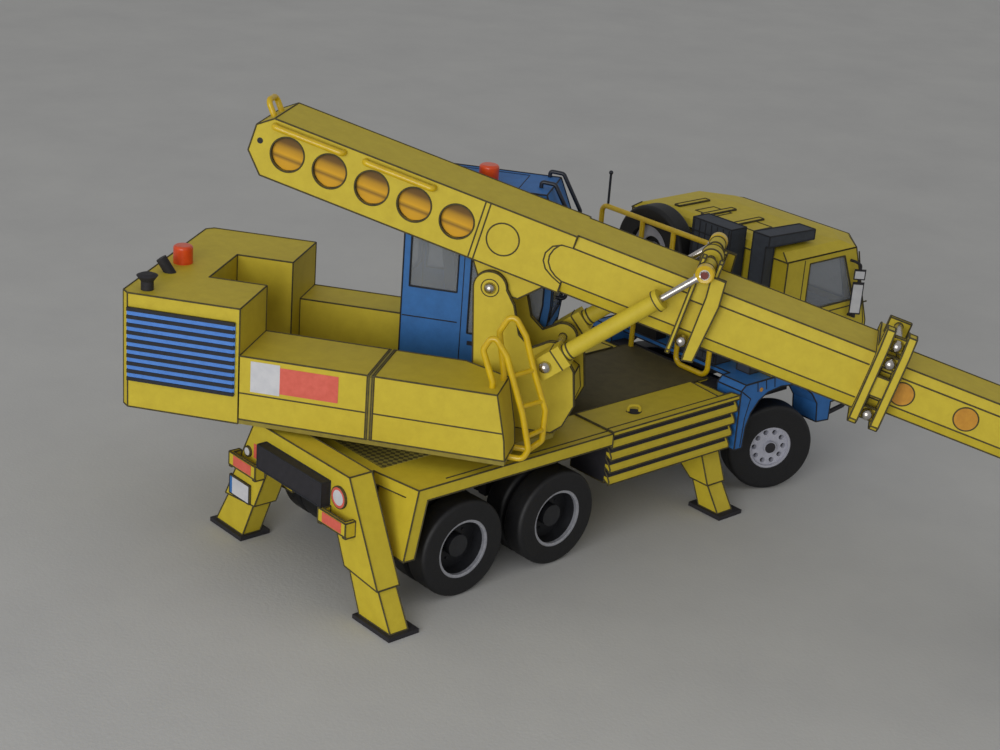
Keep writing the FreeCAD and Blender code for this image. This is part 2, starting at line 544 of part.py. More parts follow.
def engine_housing():
    """U-shaped housing. The boom's tail swings down in its slot."""
    c = 1.4
    plan = [(ENG_X0 + c, -UP_Y), (ENG_X1, -UP_Y), (ENG_X1, -NOTCH_Y), (NOTCH_X, -NOTCH_Y), (NOTCH_X, NOTCH_Y),
            (ENG_X1, NOTCH_Y), (ENG_X1, UP_Y), (ENG_X0 + c, UP_Y), (ENG_X0, UP_Y - c), (ENG_X0, -UP_Y + c)]
    return prism(plan, "Z", BASE_Z, ENG_Z)


def side_box_right():
    """Right side box: slanted nose, inner front corner cut back, a groove at its joint."""
    top = BASE_Z + BASE_T
    plan = [(ENG_X1, -UP_Y), (SIDE_TIP_LOW, -UP_Y), (SIDE_TIP_LOW, -14.2), (6.0, -NOTCH_Y), (ENG_X1, -NOTCH_Y)]
    block = prism(plan, "Z", top, SIDE_Z)
    nose = prism([(SIDE_TIP_TOP, SIDE_Z), (SIDE_TIP_LOW - 0.4, 33.5), (SIDE_TIP_LOW + 0.1, BASE_Z), (30, BASE_Z),
                  (30, SIDE_Z + 1), (SIDE_TIP_TOP, SIDE_Z + 1)], "Y", -30, 0)
    groove = cut(box(JOINT_X - 0.3, JOINT_X + 0.3, -UP_Y - 1, -NOTCH_Y + 1, top - 1, SIDE_Z + 1),
                 box(JOINT_X - 1, JOINT_X + 1, -UP_Y + 0.4, 0, top - 2, SIDE_Z - 0.4))
    return cut(block, nose, groove)


def side_box_left():
    return box(ENG_X1, OPCAB_X0, 13.2, UP_Y, BASE_Z + BASE_T, SIDE_Z)


def louvres(side):
    """Blue grille panel with horizontal fins on the housing's flank."""
    x0, x1, z0, z1 = -59.0, -36.0, 34.5, 48.9
    face = side * UP_Y
    count = 9
    pitch = (z1 - z0) / count
    y = sorted((face, face + side * 0.35))
    panel = box(ENG_X0 + 1.4, x1, y[0], y[1], z0, z1)
    fins = []
    for i in range(count):
        low = z0 + i * pitch
        fins.append(prism([(face, low + 0.1), (face + side * 0.75, low + 0.1), (face, low + pitch - 0.3)], "X",
                          x0 + 1.2, x1 - 0.3))
    return fuse(panel, *fins)


def engine_top_fittings():
    """Intake funnel on its stem and a short exhaust pipe that leans back."""
    x, y = -55.4, -19.6
    funnel = fuse(rod((x, y, ENG_Z), (x, y, ENG_Z + 1.8), 1.25), Part.makeCone(1.3, 2.1, 1.1, V(x, y, ENG_Z + 1.8), Z),
                  Part.makeCone(2.1, 1.2, 0.4, V(x, y, ENG_Z + 2.9), Z))
    pipe = rod((PIPE_FOOT[0] + 1.2, PIPE_FOOT[1] + 0.2, ENG_Z - 1.7), (PIPE_FOOT[0] - 1.6, PIPE_FOOT[1] - 0.3, ENG_Z + 2.8), 1.1)
    return [funnel, cut(pipe, box(x - 9, x + 9, -20, 20, ENG_Z - 6, ENG_Z))]


def beacon(x, y, z):
    """Flashing lamp: a short drum with a rounded top on a black foot."""
    drum = rod((x, y, z), (x, y, z + 3.7), 2.0)
    top = [e for e in drum.Edges if isinstance(e.Curve, Part.Circle) and e.CenterOfMass.z > z + 3]
    return drum.makeFillet(0.6, top)


def opcab_profile(inset):
    points = [(OPCAB_X0 + inset, BASE_Z + BASE_T + inset), (OPCAB_X0 + inset, OPCAB_Z - inset),
              (16.2 - inset * 0.6, OPCAB_Z - inset), (18.8 - inset, 66.6 - inset * 0.3),
              (18.8 - inset, 50.0), (18.0 - inset, 43.0), (16.4 - inset, 33.0), (14.4 - inset * 0.6, BASE_Z + BASE_T + inset)]
    return prism(points, "Y", OPCAB_Y0 + inset, UP_Y - inset)


def opcab_windows():
    """Openings of the operator's cab: two on each side, the big screen and the rear."""
    y0, y1 = OPCAB_Y0 - 2, UP_Y + 2
    sides = [prism([(-10.6, 50.4), (-10.6, 69.4), (-0.6, 69.4), (-0.6, 50.4)], "Y", y0, y1),
             prism([(2.0, 42.0), (2.0, 69.4), (16.0, 69.4), (17.2, 66.2), (17.2, 50.2), (16.0, 42.0)], "Y", y0, y1)]
    screen = prism([(OPCAB_Y0 + 1.6, 46.5), (UP_Y - 1.6, 46.5), (UP_Y - 1.6, 64.6), (OPCAB_Y0 + 1.6, 64.6)], "X",
                   17.4, 24.0)
    low_screen = box(15.4, 24.0, OPCAB_Y0 + 1.6, UP_Y - 1.6, 35.0, 43.6)
    rear = box(OPCAB_X0 - 2, OPCAB_X0 + 2, OPCAB_Y0 + 2.0, UP_Y - 2.0, 52.0, 69.0)
    return sides + [screen, low_screen, rear]


def make_operator_cab():
    windows = opcab_windows()
    save("operator_cab", cut(opcab_profile(0), opcab_profile(CARD), *windows), to_truck)
    film = cut(opcab_profile(0.2), opcab_profile(0.2 + FILM))
    save("operator_glazing", [film.common(w) for w in windows], to_truck)
    base = BASE_Z + BASE_T + CARD
    mid = (OPCAB_Y0 + UP_Y) / 2
    seat = fuse(box(-1.0, 4.0, mid - 2.5, mid + 2.5, base, 41.0), box(-3.0, 6.0, mid - 4.2, mid + 4.2, 41.0, 43.6),
                prism([(-3.0, 43.0), (-0.6, 43.0), (-2.6, 58.0), (-5.0, 58.0)], "Y", mid - 3.8, mid + 3.8),
                box(4.5, 9.0, mid - 5.6, mid - 4.0, 40.6, 46.6), box(-1.0, 9.0, mid - 5.6, mid - 4.0, 40.6, 42.0),
                box(4.5, 9.0, mid + 4.0, mid + 5.6, 40.6, 46.6), box(-1.0, 9.0, mid + 4.0, mid + 5.6, 40.6, 42.0))
    save("operator_seat", seat, to_truck)
    bars = []
    near, far = OPCAB_Y0 + 5.0, UP_Y - 0.6
    for y in (near, far):
        bars.append(bent_wire([(14.0, y, OPCAB_Z), (14.0, y, OPCAB_Z + 1.2), (16.8, y, OPCAB_Z + 1.0),
                               (20.8, y, 66.8), (20.8, y, 50.6), (18.8, y, 50.6)], RAIL_WIRE * 0.7, 0.8))
    cross = [rod((20.8, near, z), (20.8, far, z), RAIL_WIRE * 0.6) for z in (52.6, 64.5)]
    save("screen_guard", fuse(*bars, *cross), to_truck)


def mast_plate(y0, y1):
    """Side plate of the mast: round ear for the boom pin, round lobe for the cylinder pin."""
    px, pz, cx, cz = PIVOT_X, PIVOT_Z, CYL_PIN_X, CYL_PIN_Z
    lobe = 2.8
    outline = [(7.2, BASE_Z + BASE_T), (6.8, 42.5), (px - EAR_R, pz), (px + EAR_R, pz), (14.2, 54.6), (15.6, 48.8),
               (18.2, 46.4), (cx - 0.8, cz + lobe - 0.1), (cx + lobe, cz), (26.9, 42.8), (27.6, 35.7), (25.6, 31.2),
               (23.4, BASE_Z + BASE_T)]
    body = prism(outline, "Y", y0, y1)
    return fuse(body, rod((px, y0, pz), (px, y1, pz), EAR_R), rod((cx, y0, cz), (cx, y1, cz), lobe))


def boom_mast():
    """Two side plates joined by a rear wall, a floor and the curved nose."""
    inner = EAR_Y - EAR_T
    plates = [mast_plate(*sorted((s * inner, s * EAR_Y))) for s in (-1, 1)]
    back = box(7.2, 8.0, -inner, inner, BASE_Z + BASE_T, 46.0)
    nose = prism([(24.0, 41.4), (26.2, 40.0), (26.8, 35.6), (25.4, 31.6), (23.0, BASE_Z + BASE_T),
                  (22.2, BASE_Z + BASE_T), (24.6, 32.0), (25.9, 35.6), (25.3, 39.4), (23.4, 40.6)], "Y", -inner, inner)
    cyl_boss = [rod((CYL_PIN_X, s * EAR_Y, CYL_PIN_Z), (CYL_PIN_X, s * (EAR_Y + 1.6), CYL_PIN_Z), 1.5) for s in (-1, 1)]
    holes = [rod((PIVOT_X, -20, PIVOT_Z), (PIVOT_X, 20, PIVOT_Z), PIN_R),
             rod((CYL_PIN_X, -20, CYL_PIN_Z), (CYL_PIN_X, 20, CYL_PIN_Z), PIN_R)]
    return cut(fuse(*plates, back, nose, *cyl_boss), *holes)


def mast_pins():
    """Boom pin and cylinder base pin with their domed heads."""
    made = []
    for x, z, reach in ((PIVOT_X, PIVOT_Z, EAR_Y), (CYL_PIN_X, CYL_PIN_Z, CYL_Y + 2.1)):
        bar = rod((x, -reach, z), (x, reach, z), PIN_R)
        made.append(fuse(bar, pin_head((x, -reach, z), -1), pin_head((x, reach, z), 1)))
    return made


def step_rails():
    """Two tall wire loops with rungs between them at the right box's nose."""
    y_out, y_in = -19.4, -14.6
    step_z = BASE_Z + BASE_T / 2
    near = [(13.9, SIDE_Z), (13.9, 43.6), (11.6, 49.8), (13.4, 53.2), (16.2, 49.2), (20.1, 38.1), (21.8, 31.0),
            (20.8, step_z), (SIDE_TIP_LOW, step_z)]
    far = [(15.0, SIDE_Z), (15.0, 43.6), (13.5, 52.0), (15.8, 56.4), (18.7, 51.8), (21.0, 44.4), (23.6, 37.5),
           (23.4, 31.2), (21.0, step_z), (SIDE_TIP_LOW, step_z)]
    loops = [bent_wire([(x, y, z) for x, z in shape], RAIL_WIRE, 1.4) for y, shape in ((y_out, near), (y_in, far))]
    rungs = []
    for z in (33.6, 39.4, 45.4):
        ends = []
        for y, shape in ((y_out, near), (y_in, far)):
            x = next(a[0] + (z - a[1]) * (b[0] - a[0]) / (b[1] - a[1]) for a, b in zip(shape[3:], shape[4:])
                     if b[1] <= z <= a[1])
            ends.append((x, y, z))
        rungs.append(rod(*ends, RAIL_WIRE * 0.8))
    return fuse(*loops, *rungs)


def make_upper():
    save("slew_ring", rod((0, 0, DECK_Z), (0, 0, DECK_Z + 1.2), 12.6))
    save("turntable", turntable(), to_truck)
    save("engine_housing", engine_housing(), to_truck)
    save("side_box_right", side_box_right(), to_truck)
    save("side_box_left", side_box_left(), to_truck)
    save("louvre_panels", [louvres(-1), louvres(1)], to_truck)
    save("engine_top_fittings", engine_top_fittings(), to_truck)
    save("beacons", [beacon(-55.4, -1.4, ENG_Z), beacon(3.4, 12.6, OPCAB_Z)], to_truck)
    make_operator_cab()
    save("boom_mast", boom_mast(), to_truck)
    save("mast_pins", mast_pins(), to_truck)
    save("step_rails", step_rails(), to_truck)


# ---- boom -------------------------------------------------------------------------------
def boom_section(half_y, w0, w1, bevel_y, bevel_w):
    """Eight-sided section of the boom as (y, w) corners."""
    right = [(half_y - bevel_y, w0), (half_y, w0 + bevel_w), (half_y, w1 - bevel_w), (half_y - bevel_y, w1)]
    return right + [(-y, w) for y, w in reversed(right)]


def pivot_bracket():
    """Bracket under the boom that turns between the mast's plates."""
    half = EAR_Y - EAR_T - 0.3
    foot = prism([(-5.6, BOOM_W0), (-2.4, 0.0), (2.4, -0.6), (5.6, -0.4), (10.2, BOOM_W0)], "Y", -half, half)
    boss = rod((0, -half, 0), (0, half, 0), 2.6)
    return cut(fuse(foot, boss), rod((0, -half - 1, 0), (0, half + 1, 0), PIN_R + RUN))


def boom_tube():
    """Main boom: box section at the tail, bevelled ahead, hollow, with round side holes."""
    chamfer = [(BOOM_TAIL + d, w) for d, w in TAIL_CHAMFER]
    tail = prism([(BOOM_TAIL + 3.5, BOOM_W0), (BOOM_TAIL, 8.6), *chamfer, (BEVEL_U, BOOM_W1), (BEVEL_U, BOOM_W0)],
                 "Y", -BOOM_Y, BOOM_Y)
    front = prism(boom_section(BOOM_Y, BOOM_W0, BOOM_W1, BEVEL_Y, BEVEL_W), "X", BEVEL_U, BOOM_END)
    hollow = prism(boom_section(BOOM_Y - CARD, BOOM_W0 + CARD, BOOM_W1 - CARD, BEVEL_Y, BEVEL_W), "X",
                   BOOM_TAIL + 3.0, BOOM_END + 1)
    holes = [rod((HOLE_U + i * HOLE_STEP, -BOOM_Y - 1, BOOM_MID), (HOLE_U + i * HOLE_STEP, 0, BOOM_MID), HOLE_R)
             for i in range(HOLES)]
    return cut(fuse(tail, front, pivot_bracket()), hollow, *holes)


def collar(u, thick, tops, low_w, through):
    """Plate round the boom, square to it, with its middle plane at u. Tops are its heights on the right and left."""
    half, sides = COLLAR_Y, []
    for top in tops:
        sides.append([(half - 1.0, low_w), (half, low_w + 1.0), (half, min(top - 0.6, BOOM_W1 + 2.0)), (half - 1.2, top),
                      (half - 3.4, top), (half - 4.6, BOOM_W1 + 1.0)])
    outline = sides[1] + [(-y, w) for y, w in reversed(sides[0])]
    return cut(prism(outline, "X", u - thick / 2, u + thick / 2), prism(through, "X", u - thick, u + thick))


def boom_collars():
    """Collars: the first carries the rod eyes, the second guides the telescope."""
    tube = boom_section(BOOM_Y, BOOM_W0, BOOM_W1, BEVEL_Y, BEVEL_W)
    guide = boom_section(5.9 + SLIDE, 5.6 - SLIDE, 15.4 + SLIDE, 0.8, 2.0)
    one, two = COLLAR_1, COLLAR_2
    beside = BOOM_Y + 0.02
    first = [collar(u, PLATE, COLLAR_1_TOPS, 1.9, tube) for u in one]
    lug = fuse(rod((EYE_U, -1.5, EYE_W), (EYE_U, 1.5, EYE_W), 2.1), box(one[0], one[1], -1.5, 1.5, BOOM_W1 + 0.05, EYE_W - 1.0))
    first.append(lug)
    strap = [(one[1] - 0.3, 1.9), (one[1] + 1.7, 2.3), (one[1] + 2.5, 14.3), (one[1] + 2.0, 19.4), (one[1] - 0.8, 19.4),
             (one[1] - 0.1, 13.0)]
    for side in (-1, 1):
        first.append(prism(strap, "Y", *sorted((side * (COLLAR_Y - CARD), side * COLLAR_Y))))
        first.append(box(*one, *sorted((side * beside, side * 8.3)), BOOM_W1 - 3.0, BOOM_W1 + 1.5))
        first.append(rod((EYE_U, side * (COLLAR_Y - 4.0), EYE_W), (EYE_U, side * (COLLAR_Y - 0.2), EYE_W), PIN_R + 0.8))
    second = [collar(two[0], STRAP, COLLAR_2_TOPS, 2.6, tube), collar(two[1], STRAP, COLLAR_2_TOPS, 2.6, guide)]
    for side in (-1, 1):
        second += [box(*two, *sorted((side * beside, side * 7.9)), w - 1.2, w + 1.2) for w in COLLAR_2_PINS]
        second.append(box(*two, *sorted((side * 7.8, side * 8.6)), 9.0, 13.0))
    second += [box(*two, -6.9, -6.0, COLLAR_2_CROSS - 1.4, COLLAR_2_CROSS + 1.4),
               box(*two, 4.0, 4.9, BOOM_W1 + 0.2, COLLAR_2_CROSS + 1.2)]
    mid = (two[0] + two[1]) / 2
    pin_holes = [rod((u, -20, w), (u, 20, w), PIN_R) for u, w in ((EYE_U, EYE_W), (mid, COLLAR_2_CROSS))]
    return [cut(fuse(*first), pin_holes[0]), cut(fuse(*second), pin_holes[1])]


def collar_pins():
    """Steel pins of the collars: cross pins over the boom and short headed pins beside it."""
    first_mid = (COLLAR_1[0] + COLLAR_1[1]) / 2
    second_mid = (COLLAR_2[0] + COLLAR_2[1]) / 2
    right, left = (second_mid, -7.6, COLLAR_2_CROSS), (second_mid, 5.4, COLLAR_2_CROSS)
    made = [rod((EYE_U, -CYL_Y - 1.2, EYE_W), (EYE_U, CYL_Y + 1.2, EYE_W), PIN_R),
            fuse(rod(right, left, PIN_R), pin_head(right, -1), pin_head(left, 1))]
    places = [(first_mid, BOOM_W0 + 0.6, BOOM_Y + 0.02)] + [(second_mid, w, 7.9) for w in COLLAR_2_PINS]
    for u, w, start in places:
        for side in (-1, 1):
            made.append(fuse(rod((u, side * start, w), (u, side * 8.4, w), 0.9), pin_head((u, side * 8.4, w), side)))
    return made


def boom_rails():
    """Wire rails along the boom's right shoulder and the lifting ring on its tail's chamfer."""
    rails = []
    for u0, u1 in ((-49.0, -34.8), (-30.2, -16.2)):
        y, w = -BOOM_Y, BOOM_W1 - 1.2
        rails.append(bent_wire([(u0, y, w), (u0, y - 1.2, w), (u1, y - 1.2, w), (u1, y, w)], RAIL_WIRE, 0.5))
    low, high = [V(BOOM_TAIL + d, 0, w) for d, w in TAIL_CHAMFER]
    foot, out = (low + high) / 2, (high - low).cross(Y).normalize() * 3.2
    ring = [foot + Y * 2.2, foot + Y * 2.2 + out, foot - Y * 2.2 + out, foot - Y * 2.2]
    return rails + [bent_wire([tuple(p) for p in ring], RAIL_WIRE, 1.2)]


def telescope_tube():
    """Inner boom that slides in the main boom, closed by a round flange at its nose."""
    outer = prism(boom_section(5.9, 5.6, 15.4, 0.8, 2.0), "X", TELE_TAIL, TELE_END)
    hollow = prism(boom_section(5.9 - CARD, 5.6 + CARD, 15.4 - CARD, 0.8, 2.0), "X", TELE_TAIL - 1, TELE_END + 1)
    flange = rod((TELE_END, 0, BOOM_MID), (TELE_END + 1.2, 0, BOOM_MID), 6.0)
    neck = rod((TELE_END + 1.2, 0, BOOM_MID), (TELE_END + 3.4, 0, BOOM_MID), 2.0)
    return fuse(cut(outer, hollow), flange, neck)


def tool_head():
    """Head that turns about the boom's length and forks round the tool pin."""
    u = TELE_END + 1.2 + 0.15
    disc = cut(rod((u, 0, BOOM_MID), (u + 1.8, 0, BOOM_MID), 5.8), rod((u - 1, 0, BOOM_MID), (u + 2.6, 0, BOOM_MID), 2.0 + RUN))
    plates = []
    for side in (-1, 1):
        y0, y1 = sorted((side * 3.4, side * 4.4))
        arm = prism([(u + 0.4, 6.6), (u + 0.4, BOOM_MID + 4.0), (u + 3.0, BOOM_MID + 3.4), (HEAD_U + 1.7, HEAD_W + 0.6),
                     (HEAD_U + 1.2, HEAD_W - 1.3), (HEAD_U - 1.2, HEAD_W - 1.3)], "Y", y0, y1)
        plates.append(fuse(arm, rod((HEAD_U, y0, HEAD_W), (HEAD_U, y1, HEAD_W), 1.8)))
    pin = rod((HEAD_U, -4.4, HEAD_W), (HEAD_U, 4.4, HEAD_W), PIN_R)
    heads = [pin_head((HEAD_U, s * 4.4, HEAD_W), s) for s in (-1, 1)]
    return fuse(disc, *plates, pin, *heads)


def bucket():
    """Ditching bucket hung from its lugs, its mouth towards the machine, with teeth."""
    u, w = HEAD_U, HEAD_W
    outer = [(u - 1.0, w - 4.2), (u + 6.6, w - 4.2), (u + 10.6, w - 7.0), (u + 11.4, w - 12.0), (u + 8.0, w - 16.6),
             (u + 1.0, w - 18.2), (u - 5.4, w - 17.0)]
    inner = [(u - 3.0, w - 4.9), (u + 6.3, w - 4.9), (u + 9.9, w - 7.4), (u + 10.6, w - 11.8), (u + 7.5, w - 15.9),
             (u + 1.0, w - 17.4), (u - 7.0, w - 16.0)]
    shell = cut(prism(outer, "Y", -BUCKET_Y, BUCKET_Y), prism(inner, "Y", -BUCKET_Y + CARD, BUCKET_Y - CARD))
    lugs = []
    for side in (-1, 1):
        y0, y1 = sorted((side * 2.2, side * 3.2))
        lug = prism([(u - 0.9, w - 4.4), (u - 1.5, w), (u + 1.5, w), (u + 5.6, w - 4.4)], "Y", y0, y1)
        lugs.append(fuse(lug, rod((u, y0, w), (u, y1, w), 1.7)))
    bore = rod((u, -4, w), (u, 4, w), PIN_R + RUN)
    teeth = [box(u - 7.6, u - 5.0, y - 0.7, y + 0.7, w - 17.0, w - 16.3) for y in (-8.4, -4.2, 0.0, 4.2, 8.4)]
    return cut(fuse(shell, *lugs, *teeth), bore)


def lift_cylinder(side):
    """Barrel and rod of a lift cylinder in the upper works' frame, at the rest length."""
    y = side * CYL_Y
    base, eye = V(CYL_PIN_X, y, CYL_PIN_Z), V(boom_point(EYE_U, EYE_W)[0], y, boom_point(EYE_U, EYE_W)[1])
    along = (eye - base).normalize()
    at = lambda d: base + along * d
    tube = Part.makeCylinder(1.6, BARREL_L - 3.0, at(3.0), along)
    gland = Part.makeCylinder(2.1, 1.0, at(BARREL_L - 1.0), along)
    block = box(-2.2, 4.4, y - 1.9, y + 1.9, -2.2, 2.2)
    block.rotate(V(0, 0, 0), Y, -math.degrees(math.atan2(along.z, along.x)))
    block.translate(V(base.x, 0, base.z))
    pin_hole = rod((base.x, y - 4, base.z), (base.x, y + 4, base.z), PIN_R + RUN)
    bore = Part.makeCylinder(ROD_R + 0.04, BARREL_L, at(4.6), along)
    barrel = cut(fuse(tube, gland, block), pin_hole, bore)
    rod_start = at(BARREL_L - ROD_IN)
    piston_rod = Part.makeCylinder(ROD_R, (eye - rod_start).Length - 1.2, rod_start, along)
    socket = Part.makeCylinder(1.0, 1.3, at((eye - base).Length - 1.9), along)
    ring = rod((eye.x, y - 0.9, eye.z), (eye.x, y + 0.9, eye.z), 1.6)
    eye_bore = rod((eye.x, y - 2, eye.z), (eye.x, y + 2, eye.z), PIN_R + RUN)
    return barrel, cut(fuse(piston_rod, socket, ring), eye_bore)


def make_boom():
    save("boom_tube", boom_tube(), boom_to_truck)
    save("boom_collars", boom_collars(), boom_to_truck)
    save("collar_pins", collar_pins(), boom_to_truck)
    save("boom_rails", boom_rails(), boom_to_truck)
    save("telescope_tube", telescope_tube(), boom_to_truck)
    save("tool_head", tool_head(), boom_to_truck)
    save("bucket", bucket(), boom_to_truck)
    for name, side in SIDES:
        barrel, piston_rod = lift_cylinder(side)
        save("cylinder_barrel_" + name, barrel, to_truck)
        save("cylinder_rod_" + name, piston_rod, to_truck)


if __name__ == "__main__":
    save("chassis_frame", chassis_frame())
    make_running_gear()
    save("deck", deck())
    save("storage_boxes", [storage_box(s) for s in (-1, 1)])
    make_outriggers()
    make_rear_plates()
    make_cab()
    make_behind_cab()
    save("mirrors", mirrors())
    make_upper()
    make_boom()
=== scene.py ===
"""Looks of a card scale model of a truck-mounted telescopic excavator, built round its CAD frame.

Sizes are in millimetres until place() turns them to metres. Each piece is drawn in the
frame of what it sits on: the truck, the upper works (X along the boom, turned with the
slewing ring), the boom (X along it, Z square to it, origin on its pivot pin), a lift
cylinder (X along the rod, origin on its base pin) or a steered wheel.
"""
import json
import math
import bpy
import bmesh
from mathutils import Matrix, Vector


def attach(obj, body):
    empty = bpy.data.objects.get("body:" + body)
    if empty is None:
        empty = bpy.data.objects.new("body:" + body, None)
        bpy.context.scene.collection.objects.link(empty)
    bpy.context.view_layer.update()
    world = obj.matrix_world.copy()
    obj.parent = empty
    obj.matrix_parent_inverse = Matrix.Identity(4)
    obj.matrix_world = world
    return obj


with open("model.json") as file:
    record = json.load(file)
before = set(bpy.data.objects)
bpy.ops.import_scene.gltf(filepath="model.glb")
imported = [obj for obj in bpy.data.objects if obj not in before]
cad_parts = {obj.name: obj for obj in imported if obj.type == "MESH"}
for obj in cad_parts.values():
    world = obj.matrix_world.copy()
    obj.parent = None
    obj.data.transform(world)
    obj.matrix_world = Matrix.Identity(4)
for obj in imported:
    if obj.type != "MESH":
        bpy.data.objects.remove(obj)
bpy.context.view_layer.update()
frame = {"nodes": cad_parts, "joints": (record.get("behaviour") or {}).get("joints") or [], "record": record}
MM = 0.001
GRAIN = 0.22                 # mm, size of the card's tooth
TOOTH = 0.05 * MM            # depth of the card's tooth
WELD = 0.0005 * MM           # corners nearer than this are one
CREASE = math.radians(32)    # folds sharper than this stay sharp
joints = {j["name"]: j for j in frame["joints"]}
SIDES = (("right", -1), ("left", 1))


# ---- frames -----------------------------------------------------------------------------
def axes(origin, x, y):
    """Frame from its origin and its X and Y directions."""
    x, y = Vector(x).normalized(), Vector(y).normalized()
    turn = Matrix((x, y, x.cross(y))).transposed().to_4x4()
    return Matrix.Translation(Vector(origin)) @ turn


across = -Vector(joints["boom_lift"]["axis"])
TRUCK = Matrix.Identity(4)
UPPER = axes((0, 0, 0), across.cross(Vector((0, 0, 1))), across)
BOOM = axes(joints["boom_lift"]["pos_m"], joints["telescope_slide"]["axis"], across)
CYLINDER = {}
for name, side in SIDES:
    base_pin, stroke = joints["cylinder_swing_" + name], joints["cylinder_stroke_" + name]
    CYLINDER[name] = axes(base_pin["pos_m"], stroke["axis"], across)
WHEEL = {}
for name, side in SIDES:
    WHEEL["front_" + name] = joints["wheel_front_%s_turn" % name]
    for number in (1, 2):
        WHEEL["rear%d_%s" % (number, name)] = joints["wheel_rear%d_%s_turn" % (number, name)]
for name, joint in WHEEL.items():
    turned = Vector(joint["axis"])
    WHEEL[name] = axes(joint["pos_m"], turned.cross(Vector((0, 0, 1))), turned)


BOOM_PIN = UPPER.inverted() @ BOOM.translation / MM


def place(home, point):
    """Point in millimetres of a frame to its place in metres."""
    return home @ (Vector(point) * MM)


def span(node, home):
    """Lowest and highest corner, in millimetres, of a CAD piece measured in a frame."""
    back = home.inverted()
    spots = [back @ v.co / MM for v in frame["nodes"][node].data.vertices]
    return [Vector([pick(spot[i] for spot in spots) for i in range(3)]) for pick in (min, max)]


# ---- materials ----------------------------------------------------------------------------
def linear(code):
    """sRGB hex to a linear colour."""
    channels = [int(code[i:i + 2], 16) / 255 for i in (1, 3, 5)]
    return [c / 12.92 if c <= 0.04045 else ((c + 0.055) / 1.055) ** 2.4 for c in channels] + [1.0]


def add(tree, kind, settings=None, links=None):
    """Adds a node. Settings are its properties or inputs' values; links join outputs to its inputs."""
    node = tree.nodes.new(kind)
    for key, value in (settings or {}).items():
        if isinstance(key, str) and key in node.bl_rna.properties:
            setattr(node, key, value)
        else:
            node.inputs[key].default_value = value
    for key, source in (links or {}).items():
        tree.links.new(source, node.inputs[key])
    return node


def blank_material(name):
    """Material with an empty tree, and the Object coordinates that its textures use."""
    material = bpy.data.materials.new(name)
    material.use_nodes = True
    tree = material.node_tree
    tree.nodes.clear()
    return material, tree, add(tree, "ShaderNodeTexCoord").outputs["Object"]


def finish(name, ink, worn, patch, grain, bump, rough, shader=None):
    """Material whose colour drifts between ink and worn, with a fine grain in height and roughness.

    patch and grain are the sizes in millimetres of the drift and of the grain."""
    material, tree, where = blank_material(name)
    drift = add(tree, "ShaderNodeTexNoise", {"Scale": 1 / (patch * MM), "Detail": 4.0, "Roughness": 0.65},
                {"Vector": where})
    fibre = add(tree, "ShaderNodeTexNoise", {"Scale": 1 / (grain * MM), "Detail": 2.0}, {"Vector": where})
    spread = add(tree, "ShaderNodeMapRange", {"From Min": 0.32, "From Max": 0.72},
                 {"Value": drift.outputs["Fac"]})
    colour = add(tree, "ShaderNodeMix", {"data_type": "RGBA", 6: linear(ink), 7: linear(worn)},
                 {0: spread.outputs["Result"]})
    height = add(tree, "ShaderNodeBump", {"Strength": bump, "Distance": TOOTH},
                 {"Height": fibre.outputs["Fac"]})
    gloss_drift = 0.08
    dull = add(tree, "ShaderNodeMapRange", {"To Min": rough - gloss_drift, "To Max": rough + gloss_drift},
               {"Value": fibre.outputs["Fac"]})
    surface = add(tree, "ShaderNodeBsdfPrincipled", shader,
                  {"Base Color": colour.outputs[2], "Roughness": dull.outputs["Result"],
                   "Normal": height.outputs["Normal"]})
    add(tree, "ShaderNodeOutputMaterial", None, {"Surface": surface.outputs["BSDF"]})
    return material


# Printed craft card: matt inkjet yellow, faintly blotched, with the sheet's fine tooth.
YELLOW = finish("printed_yellow_card", "#ccb72c", "#c2ac26", 2.6, GRAIN, 0.35, 0.62)
# The same sheet where the ink was printed darker, as joint strips and lids.
OLIVE = finish("printed_olive_card", "#93852d", "#807227", 2.0, GRAIN, 0.35, 0.66)
# Blue ink on the same card.
BLUE = finish("printed_blue_card", "#2f70b6", "#2965a6", 2.4, GRAIN, 0.35, 0.6)
# Lighter blue of the printed grille.
GRILLE_BLUE = finish("printed_grille_blue_card", "#5790e2", "#4a83d4", 2.0, GRAIN, 0.35, 0.62)
# Charcoal card, faintly blue as black ink is.
CHARCOAL = finish("printed_charcoal_card", "#3a404b", "#30353f", 1.8, GRAIN, 0.4, 0.7)
# Black card, for bars, feet and everything dark under the deck; also painted shade under the slats, in the
# box ends and behind the pierced front wheel discs.
BLACK = finish("black_card", "#26242a", "#1c1b20", 1.6, GRAIN, 0.4, 0.72)
# Unprinted white of the sheet, for blank labels and plates.
WHITE = finish("bare_white_card", "#cfcfd2", "#c2c3c8", 2.0, GRAIN, 0.3, 0.6)
# Red print of the blank label and of the reflectors.
RED = finish("printed_red_card", "#dd6656", "#d05846", 1.6, GRAIN, 0.3, 0.55)
# Orange print of the round covers on the inner boom.
AMBER = finish("printed_amber_card", "#c98f26", "#b97f1e", 1.4, GRAIN, 0.3, 0.5)
# Line ink: dark olive, broken where the card's core shows at a cut edge.
INK = finish("olive_line_ink", "#39341f", "#574e28", 0.9, 0.15, 0.2, 0.75)
# Line ink on the blue card and round the windows: near black.
DARK_INK = finish("black_line_ink", "#15171d", "#22252e", 0.9, 0.15, 0.2, 0.7)
# Laminated wheel discs, painted matt black: low sheen with brush marks.
TYRE = finish("matt_black_painted_card", "#111114", "#0b0b0d", 1.2, 0.35, 0.6, 0.58)
# Grey painted wheel discs.
WHEEL_GREY = finish("grey_painted_card", "#b4b5c0", "#a4a5b1", 1.5, 0.3, 0.4, 0.5)
# Wheel centres, painted nearly black.
WHEEL_DARK = finish("dark_painted_card", "#202125", "#17181b", 1.5, 0.3, 0.4, 0.5)
